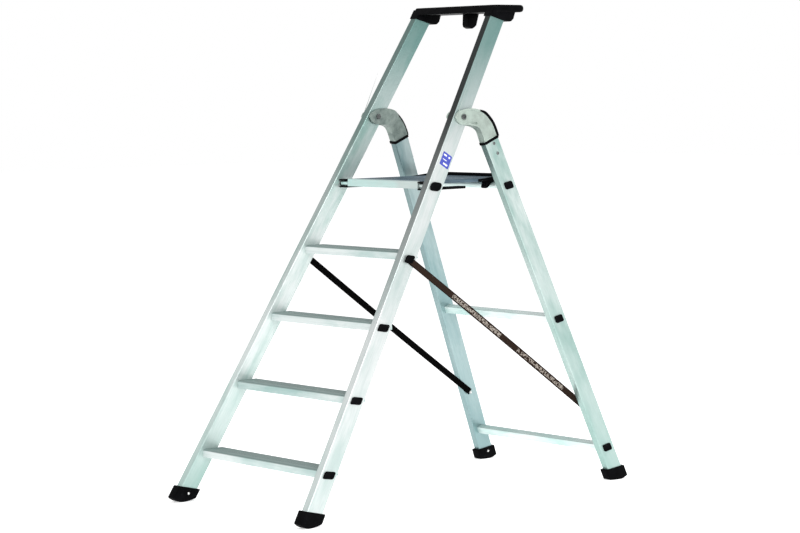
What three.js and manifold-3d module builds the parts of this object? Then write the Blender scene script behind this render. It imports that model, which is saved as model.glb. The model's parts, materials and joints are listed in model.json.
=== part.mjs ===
// Folding platform step ladder in aluminium: two front stiles with four treads and a hinged
// platform, two rear stiles with rungs, cast gooseneck hinges, a tool tray and two check straps.
// Millimetres, +Z up. X runs across the ladder, the climbing side faces -Y.
// The origin lies on the floor, at the middle of the footprint.

import * as THREE from 'three';
import { mergeVertices } from 'three/addons/utils/BufferGeometryUtils.js';
import Module from 'manifold-3d';

const wasm = await Module();
wasm.setup();

// ---- Driving dimensions ----------------------------------------------------------------

const FRONT_PITCH = 0.6; // rearward run of the front stiles per unit of height
const REAR_PITCH = 0.417; // forward run of the rear stiles per unit of height
const FOOT_SPREAD = 1468; // front to rear distance between the stile axes at the floor
const SPLAY = 0.08; // sideways run of every stile per unit of its length

const STILE_DEPTH = 66;
const FRONT_STILE_WIDTH = 30;
const REAR_STILE_WIDTH = 28;
const STILE_WALL = 2;
const STILE_CORNER = 3;

const HINGE_HALF_WIDTH = 248; // outer faces of the stiles at the gooseneck hinges
const HINGE_ALONG = 1571; // hinge position up the front stiles, from the floor
const HINGE_BEHIND = 5; // hinge position behind the front stile axis

const TREAD_FIRST = 191.3; // first tread fixing up the stiles, from the floor
const TREAD_SPACING = 274;
const TREAD_COUNT = 4;
const TREAD_DEPTH = 83;
const TREAD_HEIGHT = 29;
const TREAD_WALL = 3;

const PLATFORM_PIVOT_ALONG = 1287.5;
const PLATFORM_TOP = 1123;
const PLATFORM_THICKNESS = 12;
const PLATFORM_HALF_WIDTH = 192;
const PLATFORM_FRONT = 662;
const PLATFORM_REAR = 1080;

const REST_BAR_ALONG = 1188.5; // bar carrying the platform, up the rear stiles
const REST_BAR_RADIUS = 12;
const RUNG_UPPER_ALONG = 658;
const RUNG_LOWER_ALONG = 132;
const RUNG_SIDE = 28;

const TRAY_TOP = 1740;
const TRAY_UNDERSIDE = 1714;
const TRAY_HALF_WIDTH = 222;
const TRAY_FRONT = 986;
const TRAY_REAR = 1150;

const STRAP_WIDTH = 25;
const STRAP_THICKNESS = 1.6;
const STRAP_FRONT_ALONG = 1003; // fixing on the front stile
const STRAP_REAR_ALONG = 300; // fixing on the rear stile
const STRAP_REAR_OFFSET = -6;

const GAP = 0.3; // clearance left between pieces that touch

// ---- Derived dimensions ----------------------------------------------------------------

const FRONT_LEAN = Math.atan(FRONT_PITCH);
const REAR_LEAN = Math.atan(REAR_PITCH);
const SPLAY_ANGLE = Math.atan(SPLAY);

/** Outer half width of the front frame at a distance z up its stiles. */
const frontHalfWidth = (z) => HINGE_HALF_WIDTH + SPLAY * (HINGE_ALONG - z);

const HINGE = new THREE.Vector3(0, HINGE_BEHIND, HINGE_ALONG)
  .applyAxisAngle(new THREE.Vector3(1, 0, 0), -FRONT_LEAN);

const HINGE_IN_REAR = HINGE.clone()
  .sub(new THREE.Vector3(0, FOOT_SPREAD, 0))
  .applyAxisAngle(new THREE.Vector3(1, 0, 0), -REAR_LEAN);

/** Outer half width of the rear frame at a distance z up its stiles. */
const rearHalfWidth = (z) => HINGE_HALF_WIDTH + SPLAY * (HINGE_IN_REAR.z - z);

// ---- Materials -------------------------------------------------------------------------

const material = (color, roughness, metalness) =>
  new THREE.MeshStandardMaterial({ color, roughness, metalness });

const ALUMINIUM = material(0xd5dfdd, 0.38, 0.85);
const TREAD_METAL = material(0xc3d2d3, 0.45, 0.8);
const DECK_METAL = material(0x9fb0b6, 0.5, 0.7);
const CAST_METAL = material(0xa3aea6, 0.55, 0.75);
const BLACK_PLASTIC = material(0x141416, 0.55, 0);
const BLACK_RUBBER = material(0x0e0e10, 0.8, 0);
const STEEL = material(0xd9d9d6, 0.25, 1);
const WEBBING = material(0x1d1714, 0.9, 0);
const LABEL_BLUE = material(0x5a63b8, 0.5, 0);

// ---- Solid helpers ---------------------------------------------------------------------

/** Turns a closed geometry into a solid for joining and cutting. */
function toSolid(geometry) {
  const bare = geometry.clone();
  bare.deleteAttribute('normal');
  bare.deleteAttribute('uv');
  const merged = mergeVertices(bare, 1e-4);
  return new wasm.Manifold(new wasm.Mesh({
    numProp: 3,
    vertProperties: new Float32Array(merged.attributes.position.array),
    triVerts: new Uint32Array(merged.index.array),
  }));
}

/** Turns a solid back into a geometry. */
function toGeometry(solid) {
  const mesh = solid.getMesh();
  const geometry = new THREE.BufferGeometry();
  geometry.setAttribute('position', new THREE.BufferAttribute(mesh.vertProperties, 3));
  geometry.setIndex(new THREE.BufferAttribute(mesh.triVerts, 1));
  geometry.computeVertexNormals();
  return geometry;
}

/** Mirrors a geometry across the plane x = 0, keeping its faces pointing out. */
function mirrored(geometry) {
  const copy = mergeVertices(geometry.clone().deleteAttribute('normal').deleteAttribute('uv'), 1e-4);
  copy.scale(-1, 1, 1);
  const index = copy.index.array;
  for (let i = 0; i < index.length; i += 3) {
    const held = index[i];
    index[i] = index[i + 1];
    index[i + 1] = held;
  }
  copy.computeVertexNormals();
  return copy;
}

/** Rounded rectangle centred on the origin. */
function roundedRectangle(width, height, radius, Kind = THREE.Shape) {
  const x = width / 2;
  const y = height / 2;
  const outline = new Kind();
  outline.moveTo(-x + radius, -y);
  outline.lineTo(x - radius, -y);
  outline.absarc(x - radius, -y + radius, radius, -Math.PI / 2, 0, false);
  outline.lineTo(x, y - radius);
  outline.absarc(x - radius, y - radius, radius, 0, Math.PI / 2, false);
  outline.lineTo(-x + radius, y);
  outline.absarc(-x + radius, y - radius, radius, Math.PI / 2, Math.PI, false);
  outline.lineTo(-x, -y + radius);
  outline.absarc(-x + radius, -y + radius, radius, Math.PI, Math.PI * 1.5, false);
  return outline;
}

/** Shape through a list of [x, y] corners. */
const polygon = (corners) => new THREE.Shape(corners.map(([x, y]) => new THREE.Vector2(x, y)));

/** Straight extrusion along +Z, optionally with small bevelled ends. */
function extrude(shape, depth, curveSegments = 3, bevel = 0) {
  return new THREE.ExtrudeGeometry(shape, {
    depth: depth - 2 * bevel,
    curveSegments,
    bevelEnabled: bevel > 0,
    bevelThickness: bevel,
    bevelSize: bevel,
    bevelOffset: -bevel,
    bevelSegments: 1,
  }).translate(0, 0, bevel);
}

/** Extrudes an outline drawn as [y, z] corners between two x positions. */
function acrossProfile(shape, fromX, toX, curveSegments = 3) {
  const geometry = extrude(shape, toX - fromX, curveSegments);
  const turn = new THREE.Matrix4().makeBasis(
    new THREE.Vector3(0, 1, 0),
    new THREE.Vector3(0, 0, 1),
    new THREE.Vector3(1, 0, 0),
  );
  return geometry.applyMatrix4(turn).translate(fromX, 0, 0);
}

/** Cylinder along X between two x positions. */
function rodAcross(radius, fromX, toX, y, z, segments = 24) {
  return new THREE.CylinderGeometry(radius, radius, toX - fromX, segments)
    .rotateZ(-Math.PI / 2)
    .translate((fromX + toX) / 2, y, z);
}

/** Turned piece from [radius, x] stations, its axis along X. */
function turnedAcross(stations, segments = 24) {
  const profile = stations.map(([r, x]) => new THREE.Vector2(r, x));
  return new THREE.LatheGeometry(profile, segments).rotateZ(-Math.PI / 2);
}

// Everything is laid out from the front stile axes at the floor, then centred at the end.
const ladder = new THREE.Group();

// The front plane: x across, y rearwards and square to the stiles, z up the stiles.
const frontPlane = new THREE.Group();
frontPlane.rotation.x = -FRONT_LEAN;
ladder.add(frontPlane);

// The rear plane: x across, y rearwards and square to the stiles, z up the stiles.
const rearPlane = new THREE.Group();
rearPlane.position.y = FOOT_SPREAD;
rearPlane.rotation.x = REAR_LEAN;
ladder.add(rearPlane);

/** Adds one named piece to a group. */
function add(group, name, geometry, finish) {
  const mesh = new THREE.Mesh(geometry, finish);
  mesh.name = name;
  group.add(mesh);
  return mesh;
}

/** Adds the right-hand piece and its mirror image on the left. */
function addPair(group, name, geometry, finish) {
  add(group, `${name}_r`, geometry, finish);
  add(group, `${name}_l`, mirrored(geometry), finish);
}

frontPlane.updateMatrix();
rearPlane.updateMatrix();
const FRONT_TO_WORLD = frontPlane.matrix;
const WORLD_TO_FRONT = frontPlane.matrix.clone().invert();
const REAR_TO_WORLD = rearPlane.matrix;
const WORLD_TO_REAR = rearPlane.matrix.clone().invert();

/** Frame of a right-hand stile: z up the stile, y square to the frame, x outwards. */
function stileMatrix(halfWidthAtFloor, width) {
  const axisAtFloor = halfWidthAtFloor - width / 2 / Math.cos(SPLAY_ANGLE);
  return new THREE.Matrix4()
    .makeRotationY(-SPLAY_ANGLE)
    .setPosition(axisAtFloor, 0, 0);
}

const FRONT_STILE = stileMatrix(frontHalfWidth(0), FRONT_STILE_WIDTH);
const REAR_STILE = stileMatrix(rearHalfWidth(0), REAR_STILE_WIDTH);

/** Distance along a splayed stile for a height z in its frame's plane. */
const along = (z) => z / Math.cos(SPLAY_ANGLE);

/** Large block filling everything on one side of a horizontal plane. */
function halfSpace(height, above) {
  const size = 4000;
  const centre = above ? height + size / 2 : height - size / 2;
  return new THREE.BoxGeometry(size, size, size).translate(0, 0, centre);
}

// ---- Stiles ----------------------------------------------------------------------------

/** Hollow stile section extruded between two distances along the stile. */
function stileTube(width, from, to) {
  const section = roundedRectangle(width, STILE_DEPTH, STILE_CORNER);
  section.holes.push(roundedRectangle(
    width - 2 * STILE_WALL,
    STILE_DEPTH - 2 * STILE_WALL,
    STILE_CORNER - STILE_WALL,
    THREE.Path,
  ));
  return extrude(section, to - from, 2).translate(0, 0, from);
}

const FRONT_STILE_START = 30;
const REAR_STILE_START = 24;
const STILE_TOP_CUT = 1722; // height where the front stiles end inside the tray
const REAR_STILE_TOP = 1364;
const BOLT_RADIUS = 7;
const PIVOT_PIN_RADIUS = 8;

const frontStileBlank = stileTube(FRONT_STILE_WIDTH, FRONT_STILE_START, 2060)
  .applyMatrix4(FRONT_STILE);
const frontStile = toSolid(frontStileBlank)
  .subtract(toSolid(halfSpace(STILE_TOP_CUT, true).applyMatrix4(WORLD_TO_FRONT)))
  .subtract(toSolid(rodAcross(BOLT_RADIUS + 0.5, 180, 280, HINGE_BEHIND, HINGE_ALONG)))
  .subtract(toSolid(rodAcross(PIVOT_PIN_RADIUS + 0.5, 200, 300, 0, PLATFORM_PIVOT_ALONG)));
addPair(frontPlane, 'front_stile', toGeometry(frontStile), ALUMINIUM);

const rearStile = stileTube(REAR_STILE_WIDTH, along(REAR_STILE_START), along(REAR_STILE_TOP))
  .applyMatrix4(REAR_STILE);
addPair(rearPlane, 'rear_stile', rearStile, ALUMINIUM);

// ---- Spaces between the stiles, used to cut treads and rungs to length -----------------

/** Solid filling the space between two stiles of a frame, less the fitting gap. */
function spaceBetween(halfWidth, stileWidth) {
  const inset = stileWidth / Math.cos(SPLAY_ANGLE) + GAP;
  const low = -100;
  const high = 2100;
  const outline = polygon([
    [-(halfWidth(low) - inset), low],
    [halfWidth(low) - inset, low],
    [halfWidth(high) - inset, high],
    [-(halfWidth(high) - inset), high],
  ]);
  return toSolid(extrude(outline, 400).rotateX(Math.PI / 2).translate(0, 200, 0));
}

const frontSpace = spaceBetween(frontHalfWidth, FRONT_STILE_WIDTH);
const rearSpace = spaceBetween(rearHalfWidth, REAR_STILE_WIDTH);

// ---- Treads ----------------------------------------------------------------------------

const TREAD_FRONT = -15; // front edge of a tread before its fixing
const TREAD_RISE = 18; // top of a tread over its fixing
const TREAD_RIBS = 7;
const NOSE_DEPTH = 15; // rounded nose between the front lip and the ribbed top
const NOSE_DROP = 7;
const RIB_HEIGHT = 1.2;

/** Channel section of a tread, open below, with a rounded nose and a ribbed top. */
function treadSection() {
  const front = TREAD_FRONT;
  const back = TREAD_FRONT + TREAD_DEPTH;
  const top = TREAD_RISE;
  const bottom = top - TREAD_HEIGHT;
  const under = top - TREAD_WALL - RIB_HEIGHT;
  const middle = (front + back) / 2;
  const corners = [[front, bottom]];
  for (const turn of [0, 0.3, 0.6, 0.9, 1.2, Math.PI / 2]) {
    corners.push([
      front + NOSE_DEPTH * (1 - Math.cos(turn)),
      top - NOSE_DROP * (1 - Math.sin(turn)),
    ]);
  }
  const pitch = (TREAD_DEPTH - NOSE_DEPTH - 5) / TREAD_RIBS;
  for (let i = 0; i < TREAD_RIBS; i += 1) {
    const y = front + NOSE_DEPTH + 1 + i * pitch;
    corners.push([y, top], [y + 1, top - RIB_HEIGHT]);
    corners.push([y + pitch / 2, top - RIB_HEIGHT], [y + pitch / 2 + 1, top]);
  }
  corners.push([back - 3, top], [back, top - 3], [back, bottom]);
  corners.push([back - TREAD_WALL - 5, bottom], [back - TREAD_WALL - 5, bottom + 2.5]);
  corners.push([back - TREAD_WALL, bottom + 2.5], [back - TREAD_WALL, under]);
  corners.push([middle + 1.5, under], [middle + 1.5, bottom + 9], [middle - 1.5, bottom + 9]);
  corners.push([middle - 1.5, under], [front + NOSE_DEPTH, under]);
  corners.push([front + TREAD_WALL, under - 5]);
  corners.push([front + TREAD_WALL, bottom + 2.5], [front + TREAD_WALL + 5, bottom + 2.5]);
  corners.push([front + TREAD_WALL + 5, bottom]);
  return polygon(corners.reverse());
}

for (let i = 0; i < TREAD_COUNT; i += 1) {
  const fixing = TREAD_FIRST + i * TREAD_SPACING;
  const blank = acrossProfile(treadSection(), -400, 400)
    .rotateX(FRONT_LEAN)
    .translate(0, 0, fixing);
  const tread = toSolid(blank).intersect(frontSpace);
  add(frontPlane, `step_${i + 1}`, toGeometry(tread), TREAD_METAL);
}

// ---- Plastic covers on the outer faces of the stiles -----------------------------------

const COVER_SHEAR = 0.4; // how far the covers' ends lean from square to the stile

/** Right-hand cover plate on a stile's outer face, its ends nearer level than the stile. */
function stileCover(stile, stileWidth, shape, z, thickness, lift = GAP) {
  const lean = stile === FRONT_STILE ? -COVER_SHEAR : COVER_SHEAR / 2;
  return extrude(shape, thickness, 3, 1)
    .applyMatrix4(new THREE.Matrix4().makeShear(0, 0, lean, 0, 0, 0))
    .rotateY(Math.PI / 2)
    .translate(stileWidth / 2 + lift, 0, along(z))
    .applyMatrix4(stile);
}

const COVER_THICKNESS = 4;
const treadCover = roundedRectangle(28, 44, 7);
for (let i = 0; i < TREAD_COUNT - 1; i += 1) {
  const fixing = TREAD_FIRST + i * TREAD_SPACING;
  const cover = stileCover(FRONT_STILE, FRONT_STILE_WIDTH, treadCover, fixing, COVER_THICKNESS);
  addPair(frontPlane, `step_cap_${i + 1}`, cover, BLACK_PLASTIC);
}

const rungCover = roundedRectangle(28, 38, 7);
const rearCovers = [
  ['rest_bar_cap', REST_BAR_ALONG],
  ['rung_cap_upper', RUNG_UPPER_ALONG],
  ['rung_cap_lower', RUNG_LOWER_ALONG],
];
for (const [name, height] of rearCovers) {
  const cover = stileCover(REAR_STILE, REAR_STILE_WIDTH, rungCover, height, COVER_THICKNESS);
  addPair(rearPlane, name, cover, BLACK_PLASTIC);
}

// ---- Rear rungs and the bar that carries the platform ----------------------------------

/** Square rear rung with rounded corners, cut to fit between the rear stiles. */
function rearRung(z) {
  const section = roundedRectangle(RUNG_SIDE, RUNG_SIDE, 5);
  section.holes.push(roundedRectangle(RUNG_SIDE - 4, RUNG_SIDE - 4, 3, THREE.Path));
  const blank = acrossProfile(section, -400, 400, 2).translate(0, 0, z);
  return toGeometry(toSolid(blank).intersect(rearSpace));
}

add(rearPlane, 'rear_rung_upper', rearRung(RUNG_UPPER_ALONG), ALUMINIUM);
add(rearPlane, 'rear_rung_lower', rearRung(RUNG_LOWER_ALONG), ALUMINIUM);

const restBar = toSolid(rodAcross(REST_BAR_RADIUS, -400, 400, 0, REST_BAR_ALONG, 32))
  .subtract(toSolid(rodAcross(REST_BAR_RADIUS - 2, -410, 410, 0, REST_BAR_ALONG, 32)))
  .intersect(rearSpace);
add(rearPlane, 'rest_bar', toGeometry(restBar), ALUMINIUM);

// ---- Feet ------------------------------------------------------------------------------

const FOOT_MARGIN = 5; // how far a foot stands out beside its stile
const FOOT_REACH = 12; // how far it stands out before and behind its stile
const FRONT_FOOT_HEIGHT = 52;
const REAR_FOOT_HEIGHT = 47;

/** Right-hand shoe around the lower end of a stile, flat on the floor. */
function foot(stile, stileWidth, start, height, worldToPlane) {
  const width = stileWidth + 2 * FOOT_MARGIN;
  const depth = STILE_DEPTH + 2 * FOOT_REACH;
  const lean = stile === FRONT_STILE ? COVER_SHEAR : -COVER_SHEAR / 2;
  const body = extrude(roundedRectangle(width, depth, 8), height + 120, 3, 1.5)
    .translate(0, 0, -120)
    .applyMatrix4(new THREE.Matrix4().makeShear(0, 0, 0, lean, 0, 0))
    .applyMatrix4(stile);
  const socket = extrude(
    roundedRectangle(stileWidth + 2 * GAP, STILE_DEPTH + 2 * GAP, STILE_CORNER),
    100,
    2,
  )
    .translate(0, 0, along(start) - GAP)
    .applyMatrix4(stile);
  const floor = halfSpace(0, false).applyMatrix4(worldToPlane);
  return toGeometry(toSolid(body).subtract(toSolid(socket)).subtract(toSolid(floor)));
}

const frontFoot = foot(
  FRONT_STILE,
  FRONT_STILE_WIDTH,
  FRONT_STILE_START,
  FRONT_FOOT_HEIGHT,
  WORLD_TO_FRONT,
);
const rearFoot = foot(
  REAR_STILE,
  REAR_STILE_WIDTH,
  REAR_STILE_START,
  REAR_FOOT_HEIGHT,
  WORLD_TO_REAR,
);
addPair(frontPlane, 'front_foot', frontFoot, BLACK_RUBBER);
addPair(rearPlane, 'rear_foot', rearFoot, BLACK_RUBBER);

/** Low domed rivet head with its axis along X, its flat face at x = 0. */
function rivetHead(radius, height) {
  return turnedAcross([
    [0, 0],
    [radius, 0],
    [radius * 0.92, height * 0.45],
    [radius * 0.6, height * 0.85],
    [0, height],
  ], 12);
}

/** Right-hand rivet on one side of a stile: side is 1 for the outer face, -1 for the inner. */
function stileRivet(stile, stileWidth, radius, height, lift, side, y, z) {
  const head = rivetHead(radius, height);
  if (side < 0) head.rotateZ(Math.PI);
  return head
    .translate(side * (stileWidth / 2 + lift), y, along(z))
    .applyMatrix4(stile);
}

const FOOT_RIVET_RADIUS = 5;
const FOOT_RIVETS = [
  [frontPlane, 'front_foot_rivet', FRONT_STILE, FRONT_STILE_WIDTH, 38],
  [rearPlane, 'rear_foot_rivet', REAR_STILE, REAR_STILE_WIDTH, 33],
];
for (const [plane, name, stile, width, height] of FOOT_RIVETS) {
  const lift = FOOT_MARGIN + GAP;
  addPair(plane, name, stileRivet(stile, width, FOOT_RIVET_RADIUS, 2.5, lift, -1, 4, height), STEEL);
}

// ---- Gooseneck hinges ------------------------------------------------------------------

const CHEEK = 6; // thickness of each fork cheek
const CHEEK_CLEARANCE = 4.2; // room between a cheek and the splayed stile at the hinge axis
const HINGE_STILE_INNER = HINGE_HALF_WIDTH - FRONT_STILE_WIDTH / Math.cos(SPLAY_ANGLE);
const CHEEK_OUTER = HINGE_HALF_WIDTH + CHEEK_CLEARANCE + CHEEK;
const CHEEK_INNER = HINGE_STILE_INNER - CHEEK_CLEARANCE - CHEEK;
const ARM_INNER = 229.5;

// Side outline of the casting, as [y, z] from the hinge axis, clockwise from the nose.
const NECK_OUTLINE = [
  [-40, 0],
  [-32, 12],
  [-18, 20],
  [0, 26],
  [26, 29],
  [53, 29],
  [78, 23],
  [100, 12],
  [120, -3],
  [137, -20],
  [149, -40],
  [158, -62],
];
const NECK_UNDERSIDE = [
  [86, -62],
  [75, -44],
  [62, -35],
  [44, -31],
  [24, -29],
  [4, -28],
  [-14, -25],
  [-30, -14],
];

const ARM_GAP = 1.6; // the stile is cut square to its splayed axis, the arm level

/** Corners of the arm's end, level with the top of the rear stile. */
const armEnd = [STILE_DEPTH / 2 - 0.5, -STILE_DEPTH / 2 + 0.5].map((y) =>
  new THREE.Vector3(0, y, REAR_STILE_TOP + ARM_GAP).applyMatrix4(REAR_TO_WORLD).sub(HINGE));
const neckShape = polygon([
  ...NECK_OUTLINE,
  [armEnd[0].y, armEnd[0].z],
  [armEnd[1].y, armEnd[1].z],
  ...NECK_UNDERSIDE,
].reverse());

// Room swept by the front stile as the frames fold, bounded by its back face in the open
// and in the folded position.
const SWEEP = STILE_DEPTH / 2 - HINGE_BEHIND + 2;
const openNormal = new THREE.Vector2(Math.cos(FRONT_LEAN), -Math.sin(FRONT_LEAN));
const foldedNormal = new THREE.Vector2(Math.cos(REAR_LEAN), Math.sin(REAR_LEAN));
const onLine = (normal, z) => [(SWEEP - normal.y * z) / normal.x, z];
const crotchZ = SWEEP * (1 / openNormal.x - 1 / foldedNormal.x)
  / (openNormal.y / openNormal.x - foldedNormal.y / foldedNormal.x);
const sweepShape = polygon([
  [-90, -90],
  onLine(foldedNormal, -90),
  onLine(foldedNormal, crotchZ),
  onLine(openNormal, 90),
  [-90, 90],
]);

const neckBlank = acrossProfile(neckShape, CHEEK_INNER, CHEEK_OUTER);
const neckSlot = acrossProfile(sweepShape, CHEEK_INNER + CHEEK, CHEEK_OUTER - CHEEK);
const neckBore = rodAcross(BOLT_RADIUS + 0.5, 150, 300, 0, 0);

// The arm is narrower than the fork: a sloping cut takes its inner side back.
const armCut = new THREE.Shape([
  new THREE.Vector2(CHEEK_INNER - 20, 40),
  new THREE.Vector2(CHEEK_INNER, 52),
  new THREE.Vector2(ARM_INNER, 96),
  new THREE.Vector2(ARM_INNER, 260),
  new THREE.Vector2(CHEEK_INNER - 20, 260),
].reverse());
const armDirection = new THREE.Vector3(0, 0.8, -0.6);
const armCutFrame = new THREE.Matrix4().makeBasis(
  new THREE.Vector3(1, 0, 0),
  armDirection,
  new THREE.Vector3(1, 0, 0).cross(armDirection),
);
const armCutter = extrude(armCut, 500).translate(0, 0, -250).applyMatrix4(armCutFrame);

// The tongue fits inside the hollow top of the rear stile.
const TONGUE_CLEARANCE = 0.8;
const TONGUE_LENGTH = 66;
const tongue = extrude(roundedRectangle(
  REAR_STILE_WIDTH - 2 * (STILE_WALL + TONGUE_CLEARANCE),
  STILE_DEPTH - 2 * (STILE_WALL + TONGUE_CLEARANCE),
  1.5,
), TONGUE_LENGTH + 8, 2)
  .translate(0, 0, along(REAR_STILE_TOP) - TONGUE_LENGTH)
  .applyMatrix4(REAR_STILE)
  .applyMatrix4(REAR_TO_WORLD)
  .translate(0, -HINGE.y, -HINGE.z);

const neck = toSolid(neckBlank)
  .subtract(toSolid(neckSlot))
  .subtract(toSolid(armCutter))
  .add(toSolid(tongue))
  .subtract(toSolid(neckBore));
const neckGeometry = toGeometry(neck).translate(0, HINGE.y, HINGE.z);
addPair(ladder, 'hinge_bracket', neckGeometry, CAST_METAL);

// Black guard strip over the outer curve of each casting.
const GUARD_THICKNESS = 3.5;
const guardPath = NECK_OUTLINE.slice(6).concat([[armEnd[0].y, armEnd[0].z]]);
const guardOuter = guardPath.map(([y, z], i) => {
  const before = guardPath[Math.max(i - 1, 0)];
  const after = guardPath[Math.min(i + 1, guardPath.length - 1)];
  const run = new THREE.Vector2(after[0] - before[0], after[1] - before[1]).normalize();
  return [y - run.y * GUARD_THICKNESS, z + run.x * GUARD_THICKNESS];
});
const guardInner = guardPath.map(([y, z], i) => {
  const before = guardPath[Math.max(i - 1, 0)];
  const after = guardPath[Math.min(i + 1, guardPath.length - 1)];
  const run = new THREE.Vector2(after[0] - before[0], after[1] - before[1]).normalize();
  return [y - run.y * 0.5, z + run.x * 0.5];
});
const guardShape = polygon([...guardOuter, ...guardInner.reverse()].reverse());
const guard = acrossProfile(guardShape, ARM_INNER + 1, CHEEK_OUTER - 0.5)
  .translate(0, HINGE.y, HINGE.z);
addPair(ladder, 'hinge_trim', guard, BLACK_PLASTIC);

// Hinge bolt with heads outside the cheeks and spacers between cheeks and stile.
const BOLT_HEAD_RADIUS = 12;
const BOLT_HEAD = 3.6;
const spacerOuterFrom = HINGE_HALF_WIDTH + SPLAY * BOLT_HEAD_RADIUS + GAP;
const spacerInnerTo = HINGE_STILE_INNER - SPLAY * BOLT_HEAD_RADIUS - GAP;
const hingeBolt = turnedAcross([
  [0, CHEEK_INNER - GAP - BOLT_HEAD],
  [BOLT_HEAD_RADIUS, CHEEK_INNER - GAP - BOLT_HEAD],
  [BOLT_HEAD_RADIUS, CHEEK_INNER - GAP],
  [BOLT_RADIUS, CHEEK_INNER - GAP],
  [BOLT_RADIUS, CHEEK_INNER + CHEEK + GAP],
  [BOLT_HEAD_RADIUS, CHEEK_INNER + CHEEK + GAP],
  [BOLT_HEAD_RADIUS, spacerInnerTo],
  [BOLT_RADIUS, spacerInnerTo],
  [BOLT_RADIUS, spacerOuterFrom],
  [BOLT_HEAD_RADIUS, spacerOuterFrom],
  [BOLT_HEAD_RADIUS, CHEEK_OUTER - CHEEK - GAP],
  [BOLT_RADIUS, CHEEK_OUTER - CHEEK - GAP],
  [BOLT_RADIUS, CHEEK_OUTER + GAP],
  [BOLT_HEAD_RADIUS, CHEEK_OUTER + GAP],
  [BOLT_HEAD_RADIUS, CHEEK_OUTER + GAP + BOLT_HEAD],
  [0, CHEEK_OUTER + GAP + BOLT_HEAD],
]);
addPair(ladder, 'hinge_bolt', hingeBolt.translate(0, HINGE.y, HINGE.z), STEEL);

// Rivets that hold each rear stile to the tongue inside it.
const HINGE_RIVETS = [['upper', 1349], ['lower', 1311]];
for (const [name, height] of HINGE_RIVETS) {
  const rivet = stileRivet(REAR_STILE, REAR_STILE_WIDTH, 6, 2.6, GAP, 1, 5, height);
  addPair(rearPlane, `hinge_rivet_${name}`, rivet, STEEL);
}

// ---- Tool tray -------------------------------------------------------------------------

const TRAY_CORNER = 22;
const TRAY_RIM = 8;
const TRAY_FLOOR = 1728;
const TRAY_NOSE = (TRAY_TOP - TRAY_UNDERSIDE) / 2; // radius of the rounded rear edge
const trayMiddle = (TRAY_REAR + TRAY_FRONT) / 2;
const traySide = new THREE.Shape();
traySide.moveTo(TRAY_FRONT, TRAY_UNDERSIDE);
traySide.lineTo(TRAY_REAR - TRAY_NOSE, TRAY_UNDERSIDE);
traySide.absarc(
  TRAY_REAR - TRAY_NOSE,
  TRAY_UNDERSIDE + TRAY_NOSE,
  TRAY_NOSE,
  -Math.PI / 2,
  Math.PI / 2,
  false,
);
traySide.lineTo(TRAY_FRONT + FRONT_PITCH * (TRAY_TOP - TRAY_UNDERSIDE) + 3, TRAY_TOP);
traySide.lineTo(TRAY_FRONT + FRONT_PITCH * (TRAY_TOP - 4 - TRAY_UNDERSIDE), TRAY_TOP - 4);
const trayPlan = extrude(
  roundedRectangle(2 * TRAY_HALF_WIDTH, TRAY_REAR - TRAY_FRONT, TRAY_CORNER),
  100,
  4,
).translate(0, trayMiddle, TRAY_UNDERSIDE - 50);
const trayBody = toSolid(acrossProfile(traySide, -TRAY_HALF_WIDTH, TRAY_HALF_WIDTH, 6))
  .intersect(toSolid(trayPlan));
const WELL_FRONT = 1012;
const WELL_REAR = TRAY_REAR - TRAY_NOSE;
const trayWell = extrude(
  roundedRectangle(2 * (TRAY_HALF_WIDTH - TRAY_RIM), WELL_REAR - WELL_FRONT, TRAY_CORNER - TRAY_RIM),
  60,
  3,
).translate(0, (WELL_FRONT + WELL_REAR) / 2, TRAY_FLOOR);

// Sleeves under the tray that receive the tops of the front stiles.
const sleeveShape = polygon([
  [991, 1722],
  [979, 1703],
  [1050, 1682],
  [1074, 1680],
  [1086, 1690],
  [1098, 1722],
].reverse());
const sleeve = acrossProfile(sleeveShape, 179, 220.5);
const sleeveLeft = mirrored(sleeve);
const socketShape = roundedRectangle(
  FRONT_STILE_WIDTH + 2 * GAP,
  STILE_DEPTH + 2 * GAP,
  STILE_CORNER,
);
const stileSocket = toSolid(extrude(socketShape, 400, 2)
  .translate(0, 0, 1800)
  .applyMatrix4(FRONT_STILE)
  .applyMatrix4(FRONT_TO_WORLD))
  .subtract(toSolid(halfSpace(STILE_TOP_CUT + GAP, true)));
const stileSocketLeft = toSolid(mirrored(toGeometry(stileSocket)));
const tray = trayBody
  .subtract(toSolid(trayWell))
  .add(toSolid(sleeve))
  .add(toSolid(sleeveLeft))
  .subtract(stileSocket)
  .subtract(stileSocketLeft);
add(ladder, 'tool_tray', toGeometry(tray), BLACK_PLASTIC);

// Lug under the middle of the tray, tapering to a rounded foot.
const lugShape = new THREE.Shape();
lugShape.moveTo(1111, TRAY_UNDERSIDE - GAP);
lugShape.lineTo(1059, TRAY_UNDERSIDE - GAP);
lugShape.lineTo(1056, 1675);
lugShape.quadraticCurveTo(1062, 1662, 1078, 1660);
lugShape.quadraticCurveTo(1094, 1663, 1100, 1680);
add(ladder, 'tray_lug', acrossProfile(lugShape, -16, 16), BLACK_PLASTIC);

// ---- Platform --------------------------------------------------------------------------

const PIVOT = new THREE.Vector3(0, 0, PLATFORM_PIVOT_ALONG).applyMatrix4(FRONT_TO_WORLD);
const DECK_UNDERSIDE = PLATFORM_TOP - PLATFORM_THICKNESS;

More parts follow.
